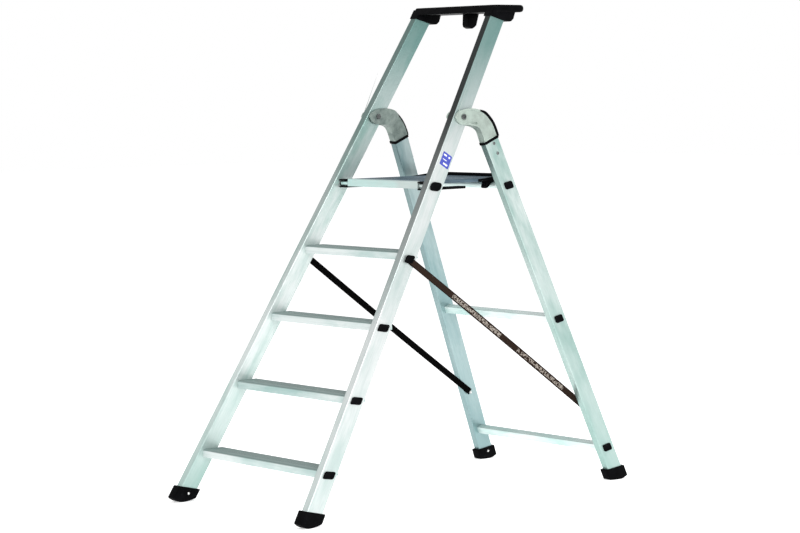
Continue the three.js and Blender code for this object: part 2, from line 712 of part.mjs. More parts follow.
/** Ribbed deck section with stiffening webs below, as [y, z] corners. */
function deckSection() {
  const ribs = 20;
  const webs = 7;
  const skin = 3;
  const pitch = (PLATFORM_REAR - PLATFORM_FRONT - 8) / ribs;
  const corners = [[PLATFORM_FRONT + GAP, PLATFORM_TOP]];
  for (let i = 0; i < ribs; i += 1) {
    const y = PLATFORM_FRONT + 4 + i * pitch;
    corners.push([y + 1, PLATFORM_TOP], [y + 2, PLATFORM_TOP - RIB_HEIGHT]);
    corners.push([y + pitch / 2, PLATFORM_TOP - RIB_HEIGHT], [y + pitch / 2 + 1, PLATFORM_TOP]);
  }
  corners.push([PLATFORM_REAR - GAP, PLATFORM_TOP], [PLATFORM_REAR - GAP, DECK_UNDERSIDE]);
  const webPitch = (PLATFORM_REAR - PLATFORM_FRONT - 2 * GAP - skin) / webs;
  for (let i = webs; i > 0; i -= 1) {
    const y = PLATFORM_FRONT + GAP + i * webPitch;
    corners.push([y, DECK_UNDERSIDE], [y, PLATFORM_TOP - RIB_HEIGHT - skin]);
    corners.push([y - webPitch + skin, PLATFORM_TOP - RIB_HEIGHT - skin]);
    corners.push([y - webPitch + skin, DECK_UNDERSIDE]);
  }
  corners.push([PLATFORM_FRONT + GAP, DECK_UNDERSIDE]);
  return polygon(corners.reverse());
}

const deck = acrossProfile(deckSection(), -PLATFORM_HALF_WIDTH, PLATFORM_HALF_WIDTH);
add(ladder, 'platform_deck', deck, DECK_METAL);

const NOSING_HEIGHT = 27;
const nosingShape = polygon([
  [650, PLATFORM_TOP - NOSING_HEIGHT],
  [650, PLATFORM_TOP - 5],
  [652, PLATFORM_TOP - 1.5],
  [655, PLATFORM_TOP],
  [PLATFORM_FRONT, PLATFORM_TOP],
  [PLATFORM_FRONT, PLATFORM_TOP - NOSING_HEIGHT],
].reverse());
add(
  ladder,
  'platform_nosing',
  acrossProfile(nosingShape, -PLATFORM_HALF_WIDTH, PLATFORM_HALF_WIDTH),
  ALUMINIUM,
);

const STRIP_RISE = 12; // how far the rear strip stands above the deck
const rearStripShape = polygon([
  [PLATFORM_REAR, PLATFORM_TOP - 15],
  [PLATFORM_REAR, PLATFORM_TOP + STRIP_RISE - 4],
  [PLATFORM_REAR + 4, PLATFORM_TOP + STRIP_RISE],
  [PLATFORM_REAR + 12, PLATFORM_TOP + STRIP_RISE],
  [PLATFORM_REAR + 15, PLATFORM_TOP + STRIP_RISE - 3],
  [PLATFORM_REAR + 15, PLATFORM_TOP - 15],
].reverse());
// The strip turns forward along both sides of the deck as low corner guards.
const CORNER_WIDTH = PLATFORM_HALF_WIDTH + 7;
const cornerShape = polygon([
  [935, PLATFORM_TOP - 3],
  [1060, PLATFORM_TOP + STRIP_RISE - 3],
  [1074, PLATFORM_TOP + STRIP_RISE],
  [PLATFORM_REAR + 15, PLATFORM_TOP + STRIP_RISE - 3],
  [PLATFORM_REAR + 15, PLATFORM_TOP - 15],
  [935, PLATFORM_TOP - 12],
].reverse());
const corner = acrossProfile(cornerShape, PLATFORM_HALF_WIDTH + GAP, CORNER_WIDTH);
const rearStrip = toSolid(acrossProfile(rearStripShape, -CORNER_WIDTH, CORNER_WIDTH))
  .add(toSolid(corner))
  .add(toSolid(mirrored(corner)));
add(ladder, 'platform_rear_strip', toGeometry(rearStrip), BLACK_PLASTIC);

// Side brackets that carry the deck on the pivot pins: a round boss and a slim bar. Their
// outer faces follow the splay of the stiles, so that they pass between them folded up.
const BRACKET_REAR = 850;
const BRACKET_TOP = 1109;
const BRACKET_BOTTOM = 1096;
const BOSS_RADIUS = 15;
const bracketRoom = frontHalfWidth(PLATFORM_PIVOT_ALONG)
  - FRONT_STILE_WIDTH / Math.cos(SPLAY_ANGLE) - 3.2;
const bracketPlan = polygon([
  [PLATFORM_HALF_WIDTH + GAP, PIVOT.y],
  [bracketRoom, PIVOT.y],
  [bracketRoom - SPLAY * 120, PIVOT.y + 120],
  [PLATFORM_HALF_WIDTH + 8, BRACKET_REAR],
  [PLATFORM_HALF_WIDTH + GAP, BRACKET_REAR],
]);
const bracketBar = extrude(bracketPlan, BRACKET_TOP - BRACKET_BOTTOM)
  .translate(0, 0, BRACKET_BOTTOM);
const bracketBoss = rodAcross(
  BOSS_RADIUS,
  PLATFORM_HALF_WIDTH + GAP,
  bracketRoom,
  PIVOT.y,
  PIVOT.z + 2,
  32,
);
const bracketBore = rodAcross(PIVOT_PIN_RADIUS + 0.5, 200, 300, PIVOT.y, PIVOT.z);
const bracket = toSolid(bracketBar)
  .add(toSolid(bracketBoss))
  .subtract(toSolid(bracketBore));
addPair(ladder, 'platform_bracket', toGeometry(bracket), BLACK_PLASTIC);

// Pivot pin with an oval cover outside the front stile.
const PIN_INNER = 206;
const coverFace = frontHalfWidth(PLATFORM_PIVOT_ALONG);
const pivotPin = toSolid(rodAcross(PIVOT_PIN_RADIUS, PIN_INNER, coverFace + 3, 0, PLATFORM_PIVOT_ALONG));
const pivotCover = toSolid(stileCover(
  FRONT_STILE,
  FRONT_STILE_WIDTH,
  roundedRectangle(34, 46, 14),
  PLATFORM_PIVOT_ALONG,
  5,
));
addPair(frontPlane, 'platform_pivot', toGeometry(pivotPin.add(pivotCover)), BLACK_PLASTIC);

// Claws under the rear of the deck that drop over the rest bar.
const BAR = new THREE.Vector3(0, 0, REST_BAR_ALONG).applyMatrix4(REAR_TO_WORLD);
const CLAW_TOP = DECK_UNDERSIDE - GAP;
const CLAW_INNER = 170;
const CLAW_ROOM = REST_BAR_RADIUS + 0.4;
const clawShape = polygon([
  [BAR.y - 34, CLAW_TOP],
  [BAR.y - 40, BAR.z - 6],
  [BAR.y - 34, BAR.z - 11],
  [BAR.y - 26, BAR.z - 8],
  [BAR.y - CLAW_ROOM - 2.5, BAR.z + 2],
  [BAR.y - CLAW_ROOM + 2, BAR.z + CLAW_ROOM - 2],
  [BAR.y - CLAW_ROOM + 7, BAR.z + CLAW_ROOM],
  [BAR.y + CLAW_ROOM - 5, BAR.z + CLAW_ROOM],
  [BAR.y + CLAW_ROOM, BAR.z + CLAW_ROOM - 6],
  [BAR.y + CLAW_ROOM + 0.5, BAR.z - 8],
  [BAR.y + CLAW_ROOM + 11, BAR.z - 8],
  [BAR.y + CLAW_ROOM + 15, CLAW_TOP],
]);
addPair(ladder, 'platform_claw', acrossProfile(clawShape, CLAW_INNER, PLATFORM_HALF_WIDTH), BLACK_PLASTIC);

// ---- Check straps ----------------------------------------------------------------------

const STRAP_LIFT = 2;
const STRAP_REAR_LIFT = 5.2;
const strapFrontX = frontHalfWidth(STRAP_FRONT_ALONG) + STRAP_LIFT + STRAP_THICKNESS / 2;
const strapRearX = rearHalfWidth(STRAP_REAR_ALONG)
  - REAR_STILE_WIDTH / Math.cos(SPLAY_ANGLE) - STRAP_REAR_LIFT - STRAP_THICKNESS / 2;
const strapFront = new THREE.Vector3(strapFrontX, 0, STRAP_FRONT_ALONG).applyMatrix4(FRONT_TO_WORLD);
const strapRear = new THREE.Vector3(strapRearX, STRAP_REAR_OFFSET, STRAP_REAR_ALONG)
  .applyMatrix4(REAR_TO_WORLD);
const strapRun = strapRear.clone().sub(strapFront);
const strapLength = strapRun.length();
const strapDirection = strapRun.clone().normalize();
const strapAcross = new THREE.Vector3(1, 0, 0)
  .addScaledVector(strapDirection, -strapDirection.x)
  .normalize();
const strapFrame = new THREE.Matrix4()
  .makeBasis(strapDirection, strapAcross, strapDirection.clone().cross(strapAcross))
  .setPosition(strapFront.clone().lerp(strapRear, 0.5));
const strap = new THREE.BoxGeometry(strapLength, STRAP_THICKNESS, STRAP_WIDTH, 12, 1, 1)
  .applyMatrix4(strapFrame);
addPair(ladder, 'strap', strap, WEBBING);

const anchorCover = stileCover(
  FRONT_STILE,
  FRONT_STILE_WIDTH,
  roundedRectangle(30, 36, 7),
  STRAP_FRONT_ALONG,
  COVER_THICKNESS,
  STRAP_LIFT + STRAP_THICKNESS + 1.6,
);
addPair(frontPlane, 'strap_anchor_front', anchorCover, BLACK_PLASTIC);

addPair(
  rearPlane,
  'strap_anchor_rear',
  stileRivet(
    REAR_STILE,
    REAR_STILE_WIDTH,
    6,
    3,
    STRAP_REAR_LIFT + STRAP_THICKNESS + 1,
    -1,
    STRAP_REAR_OFFSET,
    STRAP_REAR_ALONG,
  ),
  STEEL,
);

// ---- Plain label on the right front stile ----------------------------------------------

const label = extrude(roundedRectangle(50, 44, 3), 0.6, 3)
  .rotateY(Math.PI / 2)
  .translate(FRONT_STILE_WIDTH / 2 + GAP, 3, along(1394))
  .applyMatrix4(FRONT_STILE);
add(frontPlane, 'stile_label', label, LABEL_BLUE);

// The footprint is centred on the origin.
ladder.updateMatrixWorld(true);
const footprint = new THREE.Box3().setFromObject(ladder, true);
ladder.position.y = -(footprint.min.y + footprint.max.y) / 2;

export default ladder;
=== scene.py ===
"""Folding aluminium platform step ladder: its visible pieces and finishes around the CAD frame.

Lengths are in metres, +Z is up, X runs across the ladder and the climbing side faces -Y.
"""

import json
import logging
import math
from dataclasses import dataclass, replace
from enum import Enum
from typing import Sequence

import bmesh
import bpy
from mathutils import Matrix, Vector


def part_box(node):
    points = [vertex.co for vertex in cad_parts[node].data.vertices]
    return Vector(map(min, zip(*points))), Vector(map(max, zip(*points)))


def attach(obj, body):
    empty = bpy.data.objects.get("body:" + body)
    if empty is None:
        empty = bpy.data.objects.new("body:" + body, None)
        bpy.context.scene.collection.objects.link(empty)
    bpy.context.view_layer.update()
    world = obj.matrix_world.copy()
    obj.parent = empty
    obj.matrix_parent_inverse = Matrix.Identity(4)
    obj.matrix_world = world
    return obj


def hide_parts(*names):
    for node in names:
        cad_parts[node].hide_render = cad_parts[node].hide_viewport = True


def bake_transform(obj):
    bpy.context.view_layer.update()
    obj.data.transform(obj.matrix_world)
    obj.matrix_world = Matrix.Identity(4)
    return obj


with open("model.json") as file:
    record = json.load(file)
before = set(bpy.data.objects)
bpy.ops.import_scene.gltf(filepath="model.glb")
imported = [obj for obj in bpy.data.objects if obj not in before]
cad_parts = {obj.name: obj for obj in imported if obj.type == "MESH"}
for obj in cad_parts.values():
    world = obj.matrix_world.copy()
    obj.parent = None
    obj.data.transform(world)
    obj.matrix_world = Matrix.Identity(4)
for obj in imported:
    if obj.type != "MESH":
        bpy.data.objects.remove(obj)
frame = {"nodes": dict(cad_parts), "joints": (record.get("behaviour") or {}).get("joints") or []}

log = logging.getLogger("ladder")

MM = 0.001
GAP = 0.3 * MM  # room left between pieces that touch
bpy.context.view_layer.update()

Point = tuple[float, float]
Outline = list[Point]

# Maps an outline drawn as (y, z) and swept along its own third axis to a sweep along X.
ACROSS = Matrix(((0, 0, 1, 0), (1, 0, 0, 0), (0, 1, 0, 0), (0, 0, 0, 1)))
# Maps an outline drawn as (along the stile, across its side) to the stile's outer side.
ON_SIDE = Matrix(((0, 0, 1, 0), (0, 1, 0, 0), (1, 0, 0, 0), (0, 0, 0, 1)))


class Body(Enum):
    """The three rigid bodies of the ladder."""

    FRONT = "front_frame"
    REAR = "rear_frame"
    PLATFORM = "platform"


class Side(Enum):
    """The two sides of the ladder, as the sign of x and the ending of a piece's name."""

    RIGHT = 1
    LEFT = -1

    @property
    def ending(self) -> str:
        """The ending that the CAD node names use."""
        return "_r" if self is Side.RIGHT else "_l"


# ---- Layout ------------------------------------------------------------------------------


@dataclass(frozen=True)
class Layout:
    """Directions and frames of the stiles, worked out from the joints and the rest bar."""

    front_pitch: float = 0.6
    rear_pitch: float = 0.417
    splay: float = 0.08
    stile_depth: float = 66 * MM
    front_width: float = 30 * MM
    rear_width: float = 28 * MM
    hinge_half_width: float = 248 * MM

    @staticmethod
    def joint(name: str) -> Vector:
        """The position of a joint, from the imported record."""
        found = next(j for j in frame["joints"] if j["name"] == name)
        return Vector(found["pos_m"])

    @property
    def hinge(self) -> Vector:
        """A point on the axis of the gooseneck hinges."""
        return self.joint("rear_fold")

    @staticmethod
    def plane(spot: Vector, pitch: float) -> Matrix:
        """Frame of a pair of stiles that lean back by a pitch: z up the stiles, y square to them."""
        start = Vector((0, spot.y - pitch * spot.z, 0))
        return Matrix.Translation(start) @ Matrix.Rotation(-math.atan(pitch), 4, "X")

    @property
    def front_plane(self) -> Matrix:
        """Frame of the front stiles, through the platform's pivot."""
        return self.plane(self.joint("platform_tilt"), self.front_pitch)

    @property
    def rear_plane(self) -> Matrix:
        """Frame of the rear stiles, through the rest bar."""
        return self.plane(centre_of("rest_bar"), -self.rear_pitch)

    def half_width(self, plane: Matrix, height: float) -> float:
        """Outer half width of a frame at a height in its plane.

        Args:
            plane: front_plane or rear_plane.
            height: distance up that plane from the floor.

        Returns:
            The distance from the middle of the ladder to the outer face of a stile.
        """
        hinge_height = (plane.inverted() @ self.hinge).z
        return self.hinge_half_width + self.splay * (hinge_height - height)

    def stile(self, plane: Matrix, width: float) -> Matrix:
        """Frame of a right-hand stile: z along its axis, x outwards, y square to the frame.

        Args:
            plane: front_plane or rear_plane.
            width: width of the stile.

        Returns:
            The stile's frame, its origin on the floor.
        """
        tilt = math.atan(self.splay)
        middle = self.half_width(plane, 0.0) - width / 2 / math.cos(tilt)
        return plane @ Matrix.Translation((middle, 0, 0)) @ Matrix.Rotation(-tilt, 4, "Y")

    @property
    def front_stile(self) -> Matrix:
        """Frame of the right front stile."""
        return self.stile(self.front_plane, self.front_width)

    @property
    def rear_stile(self) -> Matrix:
        """Frame of the right rear stile."""
        return self.stile(self.rear_plane, self.rear_width)


def centre_of(node: str) -> Vector:
    """The middle of a CAD node's box."""
    low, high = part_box(node)
    return (low + high) / 2


# ---- Finishes ----------------------------------------------------------------------------


class Graph:
    """Short ways to wire one node material."""

    def __init__(self, name: str) -> None:
        """Starts an empty material with a Principled shader.

        Args:
            name: name of the material.
        """
        self.material = bpy.data.materials.new(name)
        self.material.use_nodes = True
        self.tree = self.material.node_tree
        self.tree.nodes.clear()
        self.shader = self.tree.nodes.new("ShaderNodeBsdfPrincipled")
        output = self.tree.nodes.new("ShaderNodeOutputMaterial")
        self.link(self.shader.outputs[0], output.inputs["Surface"])

    def link(self, source: bpy.types.NodeSocket, target: bpy.types.NodeSocket) -> None:
        """Joins two sockets."""
        self.tree.links.new(source, target)

    def feed(self, socket: bpy.types.NodeSocket, value: object) -> None:
        """Joins a socket to another one, or gives it a plain value.

        Args:
            socket: the input that is fed.
            value: a socket, or a plain value.
        """
        if isinstance(value, bpy.types.NodeSocket):
            self.link(value, socket)
        else:
            socket.default_value = value

    @staticmethod
    def socket(node: bpy.types.Node, key: str) -> bpy.types.NodeSocket | None:
        """The input of a node that a plain word names, or None."""
        wanted = key.replace("_", " ")
        return next((entry for entry in node.inputs if entry.name.lower() == wanted), None)

    def node(self, kind: str, **values: object) -> bpy.types.Node:
        """Adds a node; values name its inputs or, failing that, its properties.

        Args:
            kind: type name of the node.
            values: sockets or plain values.

        Returns:
            The node.
        """
        made = self.tree.nodes.new(kind)
        for key, value in values.items():
            socket = self.socket(made, key)
            if socket is None:
                setattr(made, key, value)
            else:
                self.feed(socket, value)
        return made

    def place(self, scale: Sequence[float], turn: Sequence[float] = (0, 0, 0)) -> bpy.types.NodeSocket:
        """Object coordinates, turned and then scaled.

        Args:
            scale: factors along the turned axes.
            turn: turn about each axis, in radians.

        Returns:
            The coordinates.
        """
        source = self.node("ShaderNodeTexCoord").outputs["Object"]
        turned = self.node("ShaderNodeMapping", vector=source, rotation=turn)
        return self.node("ShaderNodeMapping", vector=turned.outputs[0], scale=scale).outputs[0]

    def noise(
        self,
        where: bpy.types.NodeSocket,
        scale: float,
        detail: float = 4.0,
        roughness: float = 0.55,
    ) -> bpy.types.NodeSocket:
        """A noise value over a set of coordinates.

        Args:
            where: coordinates.
            scale: how many cells go into one unit.
            detail: number of finer layers.
            roughness: strength of the finer layers.

        Returns:
            The value, between 0 and 1.
        """
        made = self.node(
            "ShaderNodeTexNoise", vector=where, scale=scale, detail=detail, roughness=roughness
        )
        return made.outputs["Fac"] if "Fac" in made.outputs else made.outputs[0]

    def ramp(
        self, value: bpy.types.NodeSocket, stops: Sequence[tuple[float, Sequence[float]]]
    ) -> bpy.types.NodeSocket:
        """Colours along a value, as (position, colour) stops.

        Args:
            value: what the colours follow.
            stops: the colours and where they are.

        Returns:
            The colour.
        """
        made = self.node("ShaderNodeValToRGB")
        self.link(value, made.inputs[0])
        elements = made.color_ramp.elements
        while len(elements) < len(stops):
            elements.new(1.0)
        for element, (position, colour) in zip(elements, stops):
            element.position = position
            element.color = (*colour, 1.0)
        return made.outputs[0]

    def math(
        self, operation: str, first: object, second: object = 0.0, third: float = 0.0
    ) -> bpy.types.NodeSocket:
        """One arithmetic step on values or sockets.

        Args:
            operation: name of the step in Blender's own words.
            first: first value.
            second: second value.
            third: third value, for the steps that take one.

        Returns:
            The result.
        """
        made = self.node("ShaderNodeMath", operation=operation)
        for socket, value in zip(made.inputs, (first, second, third)):
            self.feed(socket, value)
        return made.outputs[0]

    def mix(
        self, share: bpy.types.NodeSocket, first: object, second: object, blend: str = "MIX"
    ) -> bpy.types.NodeSocket:
        """Mixes two colours, given as sockets or as three numbers.

        Args:
            share: how much of the second colour there is.
            first: first colour.
            second: second colour.
            blend: way of mixing in Blender's own words.

        Returns:
            The mixed colour.
        """
        made = self.node("ShaderNodeMix", data_type="RGBA", blend_type=blend)
        self.link(share, made.inputs[0])
        for socket, value in ((made.inputs[6], first), (made.inputs[7], second)):
            plain = not isinstance(value, bpy.types.NodeSocket)
            self.feed(socket, (*value, 1.0) if plain else value)
        return made.outputs[2]

    def fade(
        self, value: bpy.types.NodeSocket, start: float, end: float, share: float
    ) -> bpy.types.NodeSocket:
        """A share that rises with a value, from nothing at start to all of it at end."""
        return self.ramp(value, [(start, (0.0,) * 3), (end, (share,) * 3)])

    def span(
        self,
        value: bpy.types.NodeSocket,
        start: float,
        end: float,
        low: float = 0.0,
        high: float = 1.0,
    ) -> bpy.types.NodeSocket:
        """Maps a value between start and end to one between low and high."""
        limits = {"from_min": start, "from_max": end, "to_min": low, "to_max": high}
        return self.node("ShaderNodeMapRange", value=value, **limits).outputs[0]

    def paint(self, colour: bpy.types.NodeSocket) -> None:
        """Feeds the shader's base colour."""
        self.link(colour, self.shader.inputs["Base Color"])

    def gloss(self, value: bpy.types.NodeSocket, spread: float, base: float) -> None:
        """Feeds the shader's roughness with a base and a spread that follows a value."""
        rough = self.math("MULTIPLY_ADD", value, spread, base)
        self.link(rough, self.shader.inputs["Roughness"])

    def bump(self, height: bpy.types.NodeSocket, strength: float, distance: float) -> None:
        """Feeds a height to the shader's normal."""
        made = self.node("ShaderNodeBump", height=height, strength=strength, distance=distance)
        self.link(made.outputs[0], self.shader.inputs["Normal"])

    def set(self, **values: float) -> None:
        """Sets plain numbers on the shader's own sockets."""
        for key, value in values.items():
            self.socket(self.shader, key).default_value = value


def shade(colour: Sequence[float], factor: float) -> tuple[float, float, float]:
    """A colour made darker or lighter by a factor."""
    return tuple(min(1.0, channel * factor) for channel in colour)


@dataclass(frozen=True)
class Extrusion:
    """Satin anodised extrusion with fine draw lines along it, cloudy patches, handling marks and
    painted shade.
    """

    name: str
    tint: tuple[float, float, float]
    deep: tuple[float, float, float]
    turn: tuple[float, float, float] = (0.0, 0.0, 0.0)
    metallic: float = 0.55
    roughness: float = 0.36
    specular: float = 0.5
    # Painted shade and dark reflections: the fields from here on darken the foot (low), the top (high),
    # faces that look up (top) and front faces, more so higher up (front).
    low_at: float = 0.0
    low_share: float = 0.0
    top_share: float = 0.0
    top_from: float = 0.55
    top_full: float = 0.9
    top_tone: float = 0.4
    front_share: float = 0.0
    front_tone: float = 0.08
    high_share: float = 0.0
    low_end: float = 20 * MM
    high_from: float = 1.2
    high_full: float = 1.6
    front_from: float = 0.6
    front_full: float = 1.35
    front_least: float = 0.25
    high_tone: tuple[float, float, float] = (0.10, 0.24, 0.22)

    def build(self) -> bpy.types.Material:
        """Makes the material; turn brings the draw lines on to the Z axis.

        Returns:
            The material.
        """
        graph = Graph(self.name)
        lines = graph.noise(graph.place((260, 260, 2.2), self.turn), 1.0, 3.0)
        patches = graph.noise(graph.place((9, 9, 2.4), self.turn), 1.0, 5.0, 0.6)
        marks = graph.noise(graph.place((30, 30, 30)), 1.0, 8.0, 0.75)
        cloudy = graph.ramp(patches, [(0.36, self.deep), (0.56, self.tint)])
        lined = graph.mix(graph.fade(lines, 0.42, 0.68, 0.22), cloudy, shade(self.deep, 0.8))
        scuffed = graph.mix(graph.fade(marks, 0.60, 0.74, 0.25), lined, shade(self.tint, 0.72))
        # Painted shade goes over the metal's own tone.
        graph.paint(self.with_shade(graph, scuffed))
        graph.gloss(patches, 0.16, self.roughness - 0.08)
        graph.bump(lines, 0.12, 0.0006)
        graph.set(metallic=self.metallic, specular_ior_level=self.specular)
        return graph.material

    def with_shade(self, graph: Graph, colour: bpy.types.NodeSocket) -> bpy.types.NodeSocket:
        """Paints shade and dark reflections into the tone: darker at both ends, on faces that look up
        and high on the front faces.

        Args:
            graph: the material being wired.
            colour: the tone of the bare metal.

        Returns:
            The tone with its painted shade.
        """
        source = graph.node("ShaderNodeTexCoord").outputs
        height = graph.node("ShaderNodeSeparateXYZ", vector=source["Object"]).outputs["Z"]
        facing = graph.node("ShaderNodeSeparateXYZ", vector=source["Normal"]).outputs
        # Painted shade towards the foot and towards the top.
        low = graph.span(height, self.low_at, self.low_end, high=self.low_share)
        lowered = graph.mix(low, colour, self.deep)
        high = graph.span(height, self.high_from, self.high_full, high=self.high_share)
        toned = graph.mix(high, lowered, self.high_tone)
        # Painted shade on faces that look up.
        up = graph.fade(facing["Z"], self.top_from, self.top_full, self.top_share)
        topped = graph.mix(up, toned, shade(self.deep, self.top_tone))
        # Painted dark reflection on front faces, stronger higher up.
        front = graph.span(facing["Y"], -0.5, -0.8)
        rising = graph.span(height, self.front_from, self.front_full, low=self.front_least)
        share = graph.math("MULTIPLY", graph.math("MULTIPLY", front, rising), self.front_share)
        return graph.mix(share, topped, shade(self.deep, self.front_tone))


@dataclass(frozen=True)
class Casting:
    """Sand-textured cast aluminium with a worn, slightly glossy skin."""

    name: str
    tint: tuple[float, float, float]
    deep: tuple[float, float, float]

    def build(self) -> bpy.types.Material:
        """Makes the material.

        Returns:
            The material.
        """
        graph = Graph(self.name)
        grain = graph.noise(graph.place((900, 900, 900)), 1.0, 2.0)
        blotches = graph.noise(graph.place((34, 34, 34)), 1.0, 6.0, 0.65)
        colour = graph.ramp(blotches, [(0.34, self.deep), (0.60, self.tint)])
        speckled = graph.mix(graph.fade(grain, 0.50, 0.75, 0.35), colour, shade(self.tint, 1.25))
        graph.paint(speckled)
        graph.gloss(blotches, 0.25, 0.34)
        graph.bump(grain, 0.25, 0.0008)
        graph.set(metallic=0.5)
        return graph.material


@dataclass(frozen=True)
class Moulding:
    """Black moulded plastic or rubber with a fine spark texture and rubbed, paler patches."""

    name: str
    tint: tuple[float, float, float] = (0.0014, 0.0014, 0.0018)
    worn: tuple[float, float, float] = (0.004, 0.004, 0.005)
    roughness: float = 0.42
    grain: float = 1100.0
    depth: float = 0.0005

    def build(self) -> bpy.types.Material:
        """Makes the material.

        Returns:
            The material.
        """
        graph = Graph(self.name)
        spark = graph.noise(graph.place((self.grain,) * 3), 1.0, 2.0)
        rubbed = graph.noise(graph.place((26, 26, 26)), 1.0, 7.0, 0.7)
        graph.paint(graph.ramp(rubbed, [(0.42, self.tint), (0.72, self.worn)]))
        graph.gloss(rubbed, 0.3, self.roughness - 0.12)
        graph.bump(spark, 0.22, self.depth)
        graph.set(specular_ior_level=0.03)
        return graph.material


@dataclass(frozen=True)
class BrightSteel:
    """Zinc-plated steel of rivets and bolts, with turning marks and a few dull spots."""

    name: str = "bright_zinc"
    tint: tuple[float, float, float] = (0.78, 0.78, 0.76)

    def build(self) -> bpy.types.Material:
        """Makes the material.

        Returns:
            The material.
        """
        graph = Graph(self.name)
        spots = graph.noise(graph.place((240, 240, 240)), 1.0, 5.0, 0.7)
        fine = graph.noise(graph.place((1500, 1500, 1500)), 1.0, 2.0)
        graph.paint(graph.ramp(spots, [(0.38, shade(self.tint, 0.62)), (0.56, self.tint)]))
        graph.gloss(spots, 0.3, 0.12)
        graph.bump(fine, 0.15, 0.0003)
        graph.set(metallic=0.9)
        return graph.material


@dataclass(frozen=True)
class Webbing:
    """Woven polyester webbing read from the strap's own UV map, in metres along and across."""

    name: str
    yarn: tuple[float, float, float]
    edge: tuple[float, float, float]
    printed: bool
    rib: float = 1.7 * MM
    ink: tuple[float, float, float] = (0.36, 0.32, 0.28)
    selvedge: float = 10.2 * MM
    print_half: float = 7.5 * MM
    zone: float = 370 * MM
    printed_from: float = 240 * MM
    printed_to: float = 900 * MM
    cells: tuple[float, float, float] = (330.0, 210.0, 1.0)

    def build(self) -> bpy.types.Material:
        """Makes the material, with plain pale bars woven in where printed is set.

        Returns:
            The material.
        """
        graph = Graph(self.name)
        where = graph.node("ShaderNodeUVMap", uv_map="strap").outputs[0]
        axes = graph.node("ShaderNodeSeparateXYZ", vector=where).outputs
        turns = 2 * math.pi / self.rib
        warp = graph.math("SINE", graph.math("MULTIPLY", axes["Y"], turns * 1.6))
        weft = graph.math("SINE", graph.math("MULTIPLY", axes["X"], turns))
        weave = graph.math("MULTIPLY", warp, weft)
        fine = graph.node("ShaderNodeMapping", vector=where, scale=(900, 900, 1)).outputs[0]
        fuzz = graph.noise(fine, 1.0)
        tone = graph.ramp(
            graph.math("MULTIPLY_ADD", weave, 0.35, 0.5),
            [(0.25, shade(self.yarn, 0.5)), (0.75, shade(self.yarn, 1.35))],
        )
        across = graph.math("ABSOLUTE", axes["Y"])
        colour = graph.mix(graph.math("GREATER_THAN", across, self.selvedge), tone, self.edge)
        if self.printed:
            colour = graph.mix(self.bars(graph, where, axes["X"], across), colour, self.ink)
        graph.paint(graph.mix(graph.math("MULTIPLY", fuzz, 0.25), colour, shade(self.yarn, 1.6)))
        graph.bump(weave, 0.5, 0.0006)
        graph.set(roughness=0.9, specular_ior_level=0.03)
        return graph.material

    def bars(
        self,
        graph: Graph,
        where: bpy.types.NodeSocket,
        along: bpy.types.NodeSocket,
        across: bpy.types.NodeSocket,
    ) -> bpy.types.NodeSocket:
        """Share of pale bars: short uneven blocks in the printed zones.

        Args:
            graph: the material being wired.
            where: place on the strap.
            along: distance along the strap.
            across: distance from its middle line.

        Returns:
            One on the bars and nothing elsewhere.
        """
        past = graph.math("DIVIDE", graph.math("SUBTRACT", along, self.printed_from), self.zone)
        cells = graph.node("ShaderNodeMapping", vector=where, scale=self.cells)
        snapped = graph.node("ShaderNodeVectorMath", operation="FLOOR")
        graph.link(cells.outputs[0], snapped.inputs[0])
        blocks = graph.node("ShaderNodeTexWhiteNoise", noise_dimensions="2D")
        graph.link(snapped.outputs[0], blocks.inputs["Vector"])
        share = graph.math("GREATER_THAN", blocks.outputs["Value"], 0.52)
        for test in (
            graph.math("LESS_THAN", graph.math("FRACT", past), 0.74),
            graph.math("GREATER_THAN", along, self.printed_from),
            graph.math("LESS_THAN", along, self.printed_to),
            graph.math("LESS_THAN", across, self.print_half),
        ):
            share = graph.math("MULTIPLY", share, test)
        return share


@dataclass(frozen=True)
class LabelFilm:
    """Printed plastic film of the plain label, a little uneven in tone."""

    name: str
    tint: tuple[float, float, float]

    def build(self) -> bpy.types.Material:
        """Makes the material.

        Returns:
            The material.
        """
        graph = Graph(self.name)
        fade = graph.noise(graph.place((60, 60, 60)), 1.0, 6.0, 0.7)
        graph.paint(graph.ramp(fade, [(0.3, shade(self.tint, 0.72)), (0.7, shade(self.tint, 1.15))]))
        graph.bump(fade, 0.1, 0.0003)
        graph.set(roughness=0.35, coat_weight=0.3)
        return graph.material


FRONT_TURN = (math.atan(Layout.front_pitch), 0.0, 0.0)
REAR_TURN = (-math.atan(Layout.rear_pitch), 0.0, 0.0)
ACROSS_TURN = (0.0, math.pi / 2, 0.0)
# Teal tone of the cloudy patches and of the painted shade on the treads, rungs and nosing.
TEAL = (0.30, 0.43, 0.41)


